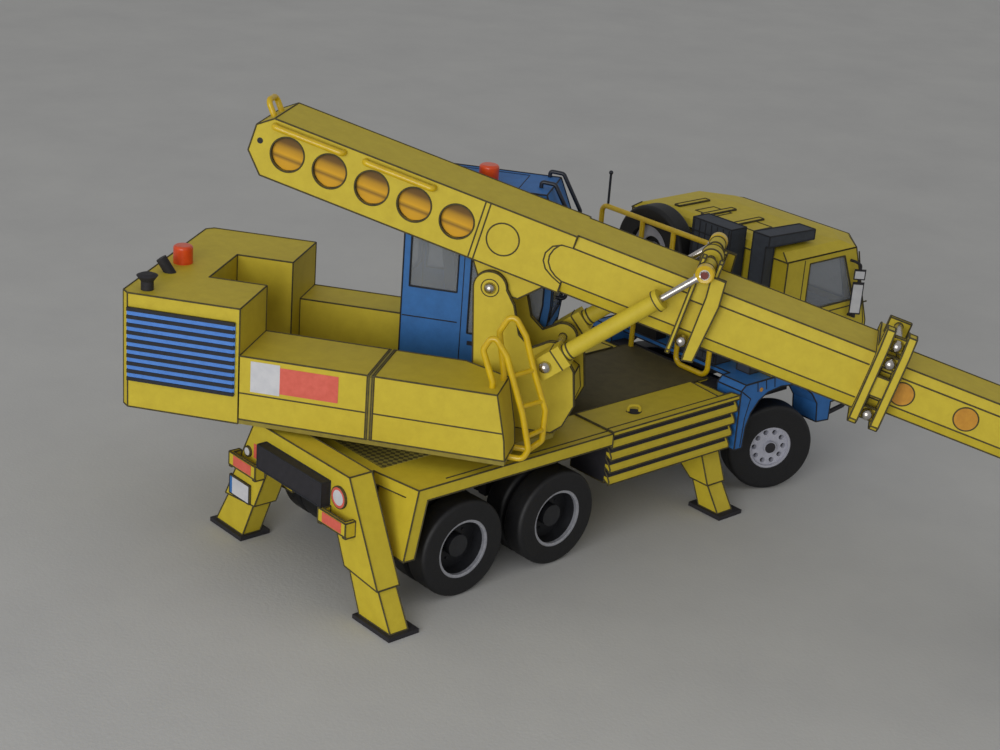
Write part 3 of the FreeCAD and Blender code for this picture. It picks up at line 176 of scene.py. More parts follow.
# Dark red paint on the ends of the rod eyes' pin.
PIN_RED = finish("dark_red_paint", "#7c2f22", "#62241b", 0.8, 0.2, 0.3, 0.5)
# The deck's middle, printed dark olive.
DECK = finish("printed_dark_olive_card", "#544b27", "#484020", 2.2, GRAIN, 0.35, 0.68)
# Silver pencil on the rims' edge: bright, soft gloss.
SILVER = finish("silver_painted_card", "#b9bac1", "#9c9ea7", 0.8, 0.2, 0.4, 0.4, {"Metallic": 0.5})
# Enamelled steel wire: smooth, deep yellow, glossier than the card.
WIRE_YELLOW = finish("yellow_enamelled_wire", "#d8b60d", "#c8a40a", 3.0, 0.6, 0.12, 0.36,
                     {"Coat Weight": 0.25})
# Dark enamelled wire.
WIRE_DARK = finish("dark_enamelled_wire", "#1c2230", "#151a26", 2.0, 0.6, 0.12, 0.4)
# Drawn steel of pins and rods: bright and slightly streaked.
STEEL = finish("drawn_steel_pin", "#cfcac4", "#b9b4ae", 0.7, 0.12, 0.1, 0.26, {"Metallic": 1.0})
# Translucent orange plastic of the beacons.
ORANGE = finish("orange_lamp_plastic", "#e4501c", "#cf4213", 1.5, 0.4, 0.15, 0.34, {"Coat Weight": 0.2})


def clear_film():
    """Clear packaging film in the windows: mostly see-through, greyish, with a soft gloss."""
    material, tree, where = blank_material("clear_window_film")
    haze = add(tree, "ShaderNodeTexNoise", {"Scale": 1 / (6 * MM), "Detail": 3.0}, {"Vector": where})
    cloud = add(tree, "ShaderNodeMapRange", {"To Min": 0.35, "To Max": 0.55}, {"Value": haze.outputs["Fac"]})
    pane = add(tree, "ShaderNodeBsdfPrincipled",
               {"Base Color": linear("#9aa0a8"), "Roughness": 0.12, "IOR": 1.5},
               {"Alpha": cloud.outputs["Result"]})
    add(tree, "ShaderNodeOutputMaterial", None, {"Surface": pane.outputs["BSDF"]})
    return material


def toothed_card(material, tree, where, colour, rough):
    """Ends a card's tree: its colour over the card's tooth."""
    fibre = add(tree, "ShaderNodeTexNoise", {"Scale": 1 / (GRAIN * MM)}, {"Vector": where})
    height = add(tree, "ShaderNodeBump", {"Strength": 0.35, "Distance": TOOTH},
                 {"Height": fibre.outputs["Fac"]})
    surface = add(tree, "ShaderNodeBsdfPrincipled", {"Roughness": rough},
                  {"Base Color": colour.outputs["Color"], "Normal": height.outputs["Normal"]})
    add(tree, "ShaderNodeOutputMaterial", None, {"Surface": surface.outputs["BSDF"]})
    return material


def painted_light_hollow_card():
    """Amber inside of the main boom behind its round holes, with light and shade painted in by height:
    painted lit gold low down, a painted dark shade band, painted brown shade under the top.
    """
    material, tree, where = blank_material("amber_inner_card_painted_light_and_shade")
    up = BOOM.to_3x3().col[2]
    height = add(tree, "ShaderNodeVectorMath", {"operation": "DOT_PRODUCT", 1: tuple(up)}, {0: where})
    foot, lit, shaded = BOOM.translation.dot(up), 7.0 * MM, 14.0 * MM
    rise = add(tree, "ShaderNodeMapRange", {"From Min": foot + lit, "From Max": foot + shaded},
               {"Value": height.outputs["Value"]})
    shade = add(tree, "ShaderNodeValToRGB", None, {"Fac": rise.outputs["Result"]})
    ramp = shade.color_ramp
    ramp.elements[0].position, ramp.elements[0].color = 0.0, linear("#dda60e")
    ramp.elements[1].position, ramp.elements[1].color = 1.0, linear("#533a10")
    # Painted light and shade: gold where lit, a dark band of painted shade, deep brown painted shade under
    # the top.
    painted_light_steps = ((0.26, "#cf9a10"), (0.34, "#8a6513"), (0.44, "#d9a30f"), (0.62, "#b98a10"), (0.76, "#715011"))
    for position, code in painted_light_steps:
        ramp.elements.new(position).color = linear(code)
    return toothed_card(material, tree, where, shade, 0.66)


def tread_card():
    """Card printed as tread plate: rows of small dark lozenges on olive."""
    material, tree, where = blank_material("printed_tread_card")
    turned = add(tree, "ShaderNodeMapping", {"Rotation": (0, 0, math.radians(45))}, {"Vector": where})
    lozenge_size = 0.9 * MM
    lozenge = add(tree, "ShaderNodeTexChecker",
                  {"Color1": linear("#857a33"), "Color2": linear("#4b4420"), "Scale": 1 / lozenge_size},
                  {"Vector": turned.outputs["Vector"]})
    return toothed_card(material, tree, where, lozenge, 0.68)


FILM = clear_film()
TREAD = tread_card()
PAINTED_LIGHT_HOLLOW = painted_light_hollow_card()
LOOK = {"yellow_card": YELLOW, "blue_card": BLUE, "dark_card": CHARCOAL, "black_card": BLACK,
        "white_card": WHITE, "wheel_card": WHEEL_GREY, "tyre": TYRE, "orange_lamp": ORANGE,
        "wire_yellow": WIRE_YELLOW, "wire_dark": WIRE_DARK, "steel": STEEL, "film": FILM}
OWN_LOOK = {"rear_plates": YELLOW, "louvre_panels": GRILLE_BLUE, "mirrors": BLACK, "chassis_frame": BLACK,
            "axles": BLACK, "boom_collars": YELLOW, "turntable": OLIVE}
OWN_LOOK.update({"rim_rear%d_%s" % (number, name): WHEEL_DARK for number in (1, 2) for name, _ in SIDES})


def dress_frame():
    """Gives each CAD node the finish of its slot, and the few that differ their own."""
    for part in frame["record"]["subparts"]:
        node = frame["nodes"][part["node"]]
        material = OWN_LOOK.get(part["node"], LOOK[part["material_slot"]])
        node.data.materials.clear()
        node.data.materials.append(material)


# ---- shapes -------------------------------------------------------------------------------
def prism(home, axis, points, low, high):
    """Polygon pushed along a frame's axis. Points are (x, z) for Y, (y, z) for X, (x, y) for Z."""
    spots = {"X": lambda a, b, t: (t, a, b), "Y": lambda a, b, t: (a, t, b),
             "Z": lambda a, b, t: (a, b, t)}[axis]
    count = len(points)
    corners = [place(home, spots(a, b, t)) for t in (low, high) for a, b in points]
    faces = [tuple(range(count)), tuple(range(count, 2 * count))]
    faces += [(i, (i + 1) % count, count + (i + 1) % count, count + i) for i in range(count)]
    return corners, faces


def block(home, x0, x1, y0, y1, z0, z1):
    """Card block between two corners."""
    y0, y1 = sorted((y0, y1))
    return prism(home, "Z", [(x0, y0), (x1, y0), (x1, y1), (x0, y1)], z0, z1)


def lathe(home, centre, axis, profile, turns=32):
    """Closed profile of (radius, height) corners turned about an axis through the centre."""
    along = Vector({"X": (1, 0, 0), "Y": (0, 1, 0), "Z": (0, 0, 1)}[axis])
    first = Vector({"X": (0, 1, 0), "Y": (0, 0, 1), "Z": (1, 0, 0)}[axis])
    second = along.cross(first)
    corners, faces, count = [], [], len(profile)
    for i in range(turns):
        turn = 2 * math.pi * i / turns
        out = first * math.cos(turn) + second * math.sin(turn)
        corners += [place(home, Vector(centre) + out * r + along * h) for r, h in profile]
        faces += [(i * count + k, i * count + (k + 1) % count, (i + 1) % turns * count + (k + 1) % count,
                   (i + 1) % turns * count + k) for k in range(count)]
    return corners, faces


def disc(home, centre, axis, radius, low, high, turns=28):
    """Round card disc."""
    return lathe(home, centre, axis, [(0, low), (radius, low), (radius, high), (0, high)], turns)


def fill(shape, corners, faces, index=0):
    """Adds corners and faces to a shape, with the faces in one material slot."""
    spots = [shape.verts.new(corner) for corner in corners]
    for face in faces:
        shape.faces.new([spots[i] for i in face]).material_index = index


def clean(shape):
    """Joins corners that meet and turns every face outwards."""
    bmesh.ops.remove_doubles(shape, verts=shape.verts, dist=WELD)
    bmesh.ops.dissolve_degenerate(shape, edges=shape.edges, dist=WELD)
    bmesh.ops.recalc_face_normals(shape, faces=shape.faces)


def piece(name, body, slot, *groups):
    """One mesh of (material, shapes) groups that rides on a body."""
    mesh = bpy.data.meshes.new(name)
    shape = bmesh.new()
    for index, (material, items) in enumerate(groups):
        mesh.materials.append(material)
        for corners, faces in items:
            fill(shape, corners, faces, index)
    clean(shape)
    for face in shape.faces:
        face.smooth = True
    shape.to_mesh(mesh)
    shape.free()
    mesh.set_sharp_from_angle(angle=CREASE)
    return mount(name, mesh, body, slot)


def mount(name, mesh, body, slot):
    """Object of a finished mesh on its body."""
    made = bpy.data.objects.new(name, mesh)
    bpy.context.scene.collection.objects.link(made)
    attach(made, body)
    return made


# ---- geometry node trees ------------------------------------------------------------------
def new_tree(name, sockets):
    """Geometry tree with named inputs, and its input node."""
    tree = bpy.data.node_groups.new(name, "GeometryNodeTree")
    tree.interface.new_socket("Geometry", in_out="OUTPUT", socket_type="NodeSocketGeometry")
    for label, kind in [("Geometry", "Geometry")] + sockets:
        tree.interface.new_socket(label, in_out="INPUT", socket_type="NodeSocket" + kind)
    return tree, add(tree, "NodeGroupInput")


def end_tree(tree, enter, shape):
    """Every tree ends in real geometry of one finish."""
    real = add(tree, "GeometryNodeRealizeInstances", None, {"Geometry": shape})
    done = add(tree, "GeometryNodeSetMaterial", None,
               {"Geometry": real.outputs["Geometry"], "Material": enter.outputs["Finish"]})
    add(tree, "NodeGroupOutput", None, {"Geometry": done.outputs["Geometry"]})
    return tree


def line_tree():
    """Round line along every edge of a mesh that is folded more than the least angle."""
    sockets = [("Least angle", "Float"), ("Radius", "Float"), ("Finish", "Material")]
    tree, enter = new_tree("drawn lines", sockets)
    fold = add(tree, "GeometryNodeInputMeshEdgeAngle")
    sharp = add(tree, "FunctionNodeCompare", {"data_type": "FLOAT", "operation": "GREATER_EQUAL"},
                {"A": fold.outputs["Unsigned Angle"], "B": enter.outputs["Least angle"]})
    line = add(tree, "GeometryNodeMeshToCurve", None,
               {"Mesh": enter.outputs["Geometry"], "Selection": sharp.outputs["Result"]})
    ring = add(tree, "GeometryNodeCurvePrimitiveCircle", {"mode": "RADIUS", "Resolution": 6},
               {"Radius": enter.outputs["Radius"]})
    drawn = add(tree, "GeometryNodeCurveToMesh", {"Fill Caps": True},
                {"Curve": line.outputs["Curve"], "Profile Curve": ring.outputs["Curve"]})
    return end_tree(tree, enter, drawn.outputs["Mesh"])


def row_tree():
    """One form repeated at every point of a mesh."""
    tree, enter = new_tree("repeated forms", [("Form", "Object"), ("Finish", "Material")])
    form = add(tree, "GeometryNodeObjectInfo", None, {"Object": enter.outputs["Form"]})
    spots = add(tree, "GeometryNodeMeshToPoints", None, {"Mesh": enter.outputs["Geometry"]})
    copies = add(tree, "GeometryNodeInstanceOnPoints", None,
                 {"Points": spots.outputs["Points"], "Instance": form.outputs["Geometry"]})
    return end_tree(tree, enter, copies.outputs["Instances"])


LINES, ROW = line_tree(), row_tree()


def grow(name, mesh, tree, values):
    """Plain mesh that a tree makes from a starting mesh."""
    start = bpy.data.objects.new(name + "_start", mesh)
    bpy.context.scene.collection.objects.link(start)
    modifier = start.modifiers.new("tree", "NODES")
    modifier.node_group = tree
    for item in tree.interface.items_tree:
        if item.name in values:
            modifier[item.identifier] = values[item.name]
    bpy.context.view_layer.update()
    grown = bpy.data.meshes.new_from_object(start.evaluated_get(bpy.context.evaluated_depsgraph_get()))
    grown.name = name
    start.modifiers.clear()
    bpy.data.objects.remove(start)
    return grown


def edge_lines(name, body, nodes, least=35.0, radius=0.17, finish_=None):
    """Ink along the folds and cut edges of a body's card pieces."""
    shape = bmesh.new()
    for node in nodes:
        shape.from_mesh(frame["nodes"][node].data)
    bmesh.ops.remove_doubles(shape, verts=shape.verts, dist=0.002 * MM)
    mesh = bpy.data.meshes.new(name)
    shape.to_mesh(mesh)
    shape.free()
    values = {"Least angle": math.radians(least), "Radius": radius * MM, "Finish": finish_ or INK}
    return mount(name, grow(name, mesh, LINES, values), body, "dark_card")


def wires(home, lines):
    """Mesh of bare edges along lines of (x, y, z) points."""
    corners, edges = [], []
    for line in lines:
        edges += [(len(corners) + i, len(corners) + i + 1) for i in range(len(line) - 1)]
        corners += [place(home, point) for point in line]
    mesh = bpy.data.meshes.new("lines")
    mesh.from_pydata(corners, edges, [])
    return mesh


def drawn(name, body, home, lines, radius=0.18, finish_=None, slot="dark_card"):
    """Lines drawn along runs of points."""
    values = {"Least angle": -1.0, "Radius": radius * MM, "Finish": finish_ or INK}
    return mount(name, grow(name, wires(home, lines), LINES, values), body, slot)


def row(name, body, slot, material, home, form, spots):
    """The same small form at each spot of a frame."""
    mesh = bpy.data.meshes.new(name + "_form")
    turn = home.to_3x3().to_4x4()
    shape = bmesh.new()
    for corners, faces in form(turn):
        fill(shape, corners, faces)
    clean(shape)
    shape.to_mesh(mesh)
    shape.free()
    pattern = bpy.data.objects.new(name + "_form", mesh)
    bpy.context.scene.collection.objects.link(pattern)
    points = bpy.data.meshes.new(name + "_spots")
    points.from_pydata([place(home, spot) for spot in spots], [], [])
    grown = grow(name, points, ROW, {"Form": pattern, "Finish": material})
    bpy.data.objects.remove(pattern)
    grown.materials.clear()
    grown.materials.append(material)
    return mount(name, grown, body, slot)


def arc(cx, cz, radius, start=0.0, end=360.0, steps=32):
    """Flat arc as (a, b) points, angles in degrees."""
    turns = [math.radians(start + (end - start) * i / steps) for i in range(steps + 1)]
    return [(cx + radius * math.cos(t), cz + radius * math.sin(t)) for t in turns]


def on_side(y, flat):
    """Flat (x, z) points lifted on to the plane y."""
    return [(x, y, z) for x, z in flat]


# ---- truck ----------------------------------------------------------------------------------
def dress_deck():
    """Tread strip, painted slat shadows, box ends darkened with painted shade, handle wells and borders of
    deck and boxes.
    """
    low, high = span("deck", TRUCK)
    box_low, box_high = span("storage_boxes", TRUCK)
    half, top, slats, middle, change = high.y, high.z, 4, 12.0, 1.0
    lid, lid_low, card = top + 0.28, top - 0.6, top + 0.08
    slat = (lid_low - box_low.z) / slats
    piece("deck_strips", "chassis", "yellow_card",
          (TREAD, [block(TRUCK, low.x + 5.2, change, -middle, middle, top, card)]),
          (DECK, [block(TRUCK, change, high.x - 0.2, -middle, middle, top, card)]))
    shadows, lines, wells = [], [], []
    band = [(0.4, -1.2), (0.8, -0.5), (0.85, -0.05), (1.5, -0.05), (1.5, -1.2)]
    for _, s in SIDES:
        inner = s * (middle + 0.4)
        for i in range(slats):
            lip = [(s * (half - a), lid_low - slat * i + b) for a, b in band]
            shadows.append(prism(TRUCK, "X", lip, box_low.x - 0.02, box_high.x - 1.0 - 0.5 * i))
        # Painted shade: black blocks in the boxes' rear ends and just ahead of their front ends.
        shadows.append(block(TRUCK, box_low.x - 0.1, box_low.x + 0.3, inner, s * (half - 1.5),
                             box_low.z + 0.1, top - 2.6))
        shadows.append(block(TRUCK, box_high.x - 0.3, box_high.x + 4.4, inner, s * 16.5,
                             top - 1.2, top - 0.4))
        well = [(x, s * out) for x, out in arc(37.2, 17.9, 1.5, steps=20)[:-1]]
        wells.append(prism(TRUCK, "Z", well, top + 0.25, top + 0.36))
        rim, border = s * (half - 2.0), s * (half - 1.6)
        lines.append([(box_low.x, s * 12.3, lid), (box_low.x, s * (half - 0.2), lid)])
        lines.append([(box_low.x, rim, lid - 0.01), (box_high.x - 0.6, rim, lid - 0.01)])
        lines.append([(low.x + 12.7, border, top - 0.02), (box_low.x - 0.2, border, top - 0.02)])
    # Painted shade: black block just ahead of the deck's front edge.
    shadows.append(block(TRUCK, high.x + 0.05, high.x + 2.2, -12.2, 12.2, top - 1.2, top - 0.4))
    piece("deck_shadows", "chassis", "dark_card", (BLACK, shadows + wells))
    drawn("deck_lines", "chassis", TRUCK, lines)


def dress_rear():
    """Red lenses, blank plate and blank discs on the rear bridge."""
    low, high = span("rear_plates", TRUCK)
    face, proud = high.x, low.x
    red, white, blue = [], [], []
    for y0, y1 in ((-16.7, -10.8), (13.1, 19.2)):
        red.append(block(TRUCK, proud - 0.12, proud + 0.02, y0, y1, 17.4, 19.5))
    seat, sign, sign_r, edge_r = face - 0.5, (-12.9, 22.7), 1.55, 2.1
    for y, z, r in ((*sign, sign_r), (17.4, 20.6, 0.8)):
        white.append(disc(TRUCK, (seat, y, z), "X", r, -0.02, 0.12))
    ring = [(sign_r, -0.03), (edge_r, -0.03), (edge_r, 0.12), (sign_r, 0.12)]
    red.append(lathe(TRUCK, (seat, *sign), "X", ring))
    red.append(block(TRUCK, face - 0.12, face + 0.02, 14.7, 15.6, 19.9, 22.9))
    white.append(block(TRUCK, seat, face - 0.38, 16.6, 22.4, 9.5, 13.1))
    blue.append(block(TRUCK, seat, face - 0.38, 22.4, 23.2, 9.5, 13.1))
    piece("rear_signs", "chassis", "white_card", (RED, red), (WHITE, white), (BLUE, blue))
    plate = ((16.45, 9.35), (23.35, 9.35), (23.35, 13.25), (16.45, 13.25), (16.45, 9.35))
    border = [(face - 0.48, y, z) for y, z in plate]
    drawn("plate_border", "chassis", TRUCK, [border], 0.13, DARK_INK)


def wheel_nut(turn):
    """Six-sided nut, its axis along Y."""
    return [disc(turn, (0, 0, 0), "Y", 0.3, -0.3, 0.3, 6)]


def dress_wheels():
    """Silver rim edges, wheel nuts, dark hub caps, and a black disc of painted shade behind the holes of the
    pierced front discs.
    """
    for name, home in WHEEL.items():
        side, body = -1 if name.endswith("right") else 1, "wheel_" + name
        low, high = span("rim_" + name, home)
        out, radius = max(-low.y if side < 0 else high.y, 0), high.x
        if name.startswith("front"):
            hub, well, inner, outer = 1.2, radius - 0.5, side * (out - 2.9), side * (out - 2.5)
            # Black disc of painted shade behind the pierced disc, so that its holes look dark; the cap is the
            # dark hub.
            backing = [(hub, inner), (well, inner), (well, outer), (hub, outer)]
            cap = disc(home, (0, side * out, 0), "Y", 1.25, -0.05, 0.1)
            piece("wheel_backing_" + name, body, "wheel_card",
                  (BLACK, [lathe(home, (0, 0, 0), "Y", backing), cap]))
            continue
        ring = [(-0.6, -0.7), (-0.6, 0.02), (-0.1, 0.16), (0.3, 0.06), (0.3, -0.7)]
        edge = [(radius + r, side * (out + y)) for r, y in ring]
        piece("rim_edge_" + name, body, "wheel_card", (SILVER, [lathe(home, (0, 0, 0), "Y", edge, 48)]))
        nuts = [(x, side * (out - 3.6), z) for x, z in arc(0.0, 0.0, 3.4, steps=10)[:-1]]
        row("wheel_nuts_" + name, body, "wheel_card", WHEEL_DARK, home, wheel_nut, nuts)


def dress_cab():
    """Doors, lamps, grille, mirrors' faces, roof hatches and the mudguards' printing."""
    low, high = span("cab_body", TRUCK)
    half, back, roof = high.y, low.x, span("cab_roof", TRUCK)[1].z
    front = span("cab_lower", TRUCK)[1].x
    window = [(81.8, 42.0), (81.8, 53.0), (93.6, 53.0), (98.8, 42.0), (81.8, 42.0)]
    lines, dark, black, white, amber, bars = [], [], [], [], [], []
    for _, s in SIDES:
        y = s * (half - 0.07)
        lines += [on_side(y, [(80.0, 28.6), (80.0, 54.0)]), on_side(y, [(80.0, 40.6), (104.0, 40.6)]),
                  on_side(y, [(103.4, 29.0), (103.6, 36.0), (98.6, 53.2)])]
        dark += [on_side(y, window), on_side(y, [(65.6, 27.9), (104.6, 27.9)]),
                 on_side(y, [(64.6, 26.6), (67.6, 24.4), (66.4, 20.0), (66.0, 13.4)])]
        dark += [on_side(y, [(x, 25.6), (x - 0.4, 27.8)]) for x in (69.8, 72.6, 75.4)]
        black.append(block(TRUCK, 81.6, 84.4, y, s * (half + 0.3), 38.4, 39.2))
        amber.append(disc(TRUCK, (70.8, y, 25.9), "Y", 0.5, 0.0, s * 0.2, 14))
        for z0, z1 in ((39.6, 46.2), (47.6, 49.3)):
            plan = [(96.46, half + 1.36), (98.06, half + 2.72), (98.18, half + 2.56), (96.58, half + 1.2)]
            white.append(prism(TRUCK, "Z", [(x, s * out) for x, out in plan], z0, z1))
        white.append(block(TRUCK, front - 0.05, front + 0.1, s * 12.8, s * 15.4, 22.7, 24.5))
        amber.append(block(TRUCK, front - 0.05, front + 0.1, s * 15.5, s * 16.3, 22.7, 24.5))
        y = s * (half - 0.9)
        bars.append([(95.9, y, 14.3), (102.0, y, 15.1), (103.6, y, 16.2), (104.4, y, 18.0)])
    for i in range(5):
        black.append(block(TRUCK, front - 0.75, front - 0.28, -13.0, 13.0, 29.4 + i * 1.5, 30.2 + i * 1.5))
    dark.append([(front - 0.4, -20.0, 28.1), (front - 0.4, 20.0, 28.1)])
    lines.append([(back + 0.07, 0.4 - half, 31.0), (back + 0.07, half - 0.4, 31.0)])
    for y0 in (-9.6, 2.4):
        plan = [(78.4, y0), (84.4, y0), (84.4, y0 + 5.6), (78.4, y0 + 5.6), (78.4, y0)]
        lines.append([(x, y, roof - 0.3) for x, y in plan])
    piece("cab_fittings", "chassis", "black_card", (BLACK, black), (WHITE, white), (AMBER, amber))
    drawn("cab_lines", "chassis", TRUCK, lines)
    drawn("cab_window_lines", "chassis", TRUCK, dark, 0.18, DARK_INK)
    drawn("step_bars", "chassis", TRUCK, bars, 0.55, BLACK)


def dress_behind_cab():
    """Printed mesh on the intake, and the spare wheel's disc."""
    back = span("intake_ducts", TRUCK)[0].x + 0.02
    spare_low, spare_high = span("spare_wheel", TRUCK)
    lines = [[(back, -11.4, 30.0 + i * 2.4), (back, -0.6, 30.0 + i * 2.4)] for i in range(12)]
    lines += [[(back, -11.0 + i * 1.7, 28.6), (back, -11.0 + i * 1.7, 58.8)] for i in range(7)]
    drawn("intake_lines", "chassis", TRUCK, lines, 0.16, DARK_INK)
    centre = (spare_low.x + 1.4, (spare_low.y + spare_high.y) / 2, spare_high.z - 10.1)
    ring = [(3.0, 0.0), (5.6, 0.0), (5.6, 0.5), (3.0, 0.5)]
    piece("spare_wheel_disc", "chassis", "wheel_card",
          (WHEEL_GREY, [lathe(TRUCK, centre, "X", ring), disc(TRUCK, centre, "X", 1.6, 0, 0.9)]))


# ---- upper works ------------------------------------------------------------------------------
def dress_upper():
    """Grille lines, the blank label, joint strips and the engine housing's rear."""
    side_low, side_high = span("side_box_right", UPPER)
    grille_low, grille_high = span("louvre_panels", UPPER)
    engine_low, engine_high = span("engine_housing", UPPER)
    y, top, inner = side_low.y, side_high.z, side_high.y
    gaps, back, front, wall = 9, -58.0, -36.0, engine_high.y
    pitch = (grille_high.z - grille_low.z) / gaps
    strips = [block(UPPER, back, front, s * (wall + 0.3), s * (wall + 0.82), z - 0.3, z + 0.42)
              for s in (-1, 1) for z in [grille_low.z + i * pitch for i in range(gaps + 1)]]
    piece("grille_lines", "upper_works", "dark_card", (DARK_INK, strips))
    lines = [on_side(y + 0.07, [(x0, 34.9), (x1, 34.9)]) for x0, x1 in ((-35.1, -9.6), (-8.2, 17.3))]
    for x in (-9.55, -8.25):
        lines.append([(x, y - 0.02, 29.5), (x, y - 0.02, top + 0.02), (x, inner - 0.1, top + 0.02)])
    olive = [block(UPPER, -9.5, -8.3, y - 0.07, y + 0.3, 29.5, top + 0.05),
             block(UPPER, -9.5, -8.3, y - 0.07, inner - 0.1, top - 0.3, top + 0.07)]
    white = [block(UPPER, -32.8, -26.9, y - 0.08, y + 0.05, 35.5, 41.8)]
    red = [block(UPPER, -26.9, -15.2, y - 0.08, y + 0.05, 35.9, 41.3)]
    piece("side_label", "upper_works", "white_card", (WHITE, white), (RED, red))
    piece("joint_strip", "upper_works", "yellow_card", (OLIVE, olive))
    rear = engine_low.x + 0.05
    lines += [[(rear, -14.0, z), (rear, 14.0, z)] for z in (36.0, 38.0, 40.0, 42.0, 44.0, 46.0)]
    border = ((-20.0, 31.6), (20.0, 31.6), (20.0, 49.8), (-20.0, 49.8), (-20.0, 31.6))
    lines.append([(rear, y, z) for y, z in border])
    drawn("upper_lines", "upper_works", UPPER, lines)
    ear = span("boom_mast", UPPER)[1].y - 1.6
    ring = [on_side(s * (ear - 0.04), arc(BOOM_PIN.x, BOOM_PIN.z, 1.75, steps=24)) for s in (-1, 1)]
    drawn("mast_rings", "upper_works", UPPER, ring, 0.13)


def dress_operator_cab():
    """Doors, window rubbers, handles and wipers of the operator's cab."""
    low, high = span("operator_cab", UPPER)
    rear, roof = low.x + 0.06, high.z - 0.04
    lines, rubbers, black = [], [], []
    pane = [(-10.6, 50.4), (-10.6, 69.4), (-0.6, 69.4), (-0.6, 50.4), (-10.6, 50.4)]
    door = [(2.0, 42.0), (2.0, 69.4), (16.0, 69.4), (17.2, 66.2), (17.2, 50.2), (16.0, 42.0), (2.0, 42.0)]
    for y, s in ((low.y, -1), (high.y, 1)):
        face = y - s * 0.06
        rubbers += [on_side(face, pane), on_side(face, door)]
        lines.append(on_side(face, [(0.6, 31.0), (0.6, 71.6), (16.4, 71.6), (18.2, 66.6)]))
        lines += [on_side(face, [(0.6, 31.0), (14.4, 31.0)]), on_side(face, [(-11.8, 44.0), (-0.2, 44.0)])]
        black.append(block(UPPER, 2.2, 5.0, y, y + s * 0.35, 39.6, 40.4))
    back_pane = ((10.6, 52.0), (20.9, 52.0), (20.9, 69.0), (10.6, 69.0), (10.6, 52.0))
    hatch = ((-4.0, 10.0), (10.0, 10.0), (10.0, 21.4), (-4.0, 21.4), (-4.0, 10.0))
    rubbers.append([(rear, y, z) for y, z in back_pane])
    lines.append([(rear, 9.0, 48.0), (rear, 22.5, 48.0)])
    lines.append([(x, y, roof) for x, y in hatch])
    black += [block(UPPER, high.x - 0.1, high.x + 0.25, 12.0, 12.4, z, z + 5.6) for z in (54.0, 60.0)]
    piece("operator_cab_fittings", "upper_works", "black_card", (BLACK, black))
    drawn("operator_cab_lines", "upper_works", UPPER, lines, 0.15, DARK_INK)
    drawn("operator_cab_rubbers", "upper_works", UPPER, rubbers, 0.2, DARK_INK)


# ---- boom -------------------------------------------------------------------------------------
def dress_boom():
    """Printing along the main boom, and the amber card with painted light and shade behind its round holes.
    """
    low, high = span("boom_tube", BOOM)
    floor, mid, bevel, end = 4.6, 10.5, 12.6, high.x - 2.3
    lines, dots = [], []
    joint = [(bevel, high.z - 0.1), (bevel, 14.0), (10.4, 13.8), (8.8, 12.9), (7.9, 11.2), (8.0, 9.6),
             (8.9, 8.2), (10.6, 7.2), (bevel, 6.4), (bevel, floor + 0.1)]
    inner_joint = [(10.0, 13.6), (9.2, 12.4), (8.8, 11.0), (9.0, 9.7), (9.9, 8.4), (11.2, 7.5), (bevel, 7.0)]
    for s in (-1, 1):
        y = s * (high.y - 0.07)
        lines += [on_side(y, [(bevel, w), (end, w)]) for w in (14.0, 7.0)]
        lines += [on_side(y, [(u, floor + 0.1), (u, high.z - 0.1)]) for u in (-5.9, -4.9)]
        lines += [on_side(y, arc(-0.6, mid, 3.2)), on_side(y, joint), on_side(y, inner_joint)]
        dots.append(disc(BOOM, (low.x + 1.8, s * high.y, mid + 0.7), "Y", 0.6, -s * 0.05, s * 0.05, 18))
    holes, first_hole, hole_pitch, ring_r = 5, -45.3, 8.81, 3.42
    for i in range(holes):
        lines.append(on_side(low.y + 0.02, arc(first_hole + hole_pitch * i, mid, ring_r, steps=40)))
    piece("boom_tail_dots", "boom", "dark_card", (DARK_INK, dots))
    # Amber plate behind the holes, coloured with painted light and shade.
    backing = block(BOOM, low.x + 3.6, -5.0, low.y + 0.8, low.y + 0.95, 5.6, 15.4)
    piece("boom_hollow", "boom", "yellow_card", (PAINTED_LIGHT_HOLLOW, [backing]))
    drawn("boom_lines", "boom", BOOM, lines)


def dress_telescope():
    """Round covers and long lines on the inner boom."""
    low, high = span("telescope_tube", BOOM)
    covers, lines, face, mid, radius = [], [], 5.9, 10.5, 2.2
    for s in (-1, 1):
        for u in (79.6, 92.2, 104.8):
            covers.append(disc(BOOM, (u, s * face, mid), "Y", radius, -s * 0.05, s * 0.07, 30))
            lines.append(on_side(s * (face - 0.04), arc(u, mid, radius + 0.1)))
        lines += [on_side(s * (face - 0.06), [(low.x + 5.0, w), (high.x - 3.9, w)]) for w in (7.6, 13.4)]
    piece("inner_boom_covers", "telescope", "yellow_card", (AMBER, covers))
    drawn("inner_boom_lines", "telescope", BOOM, lines)


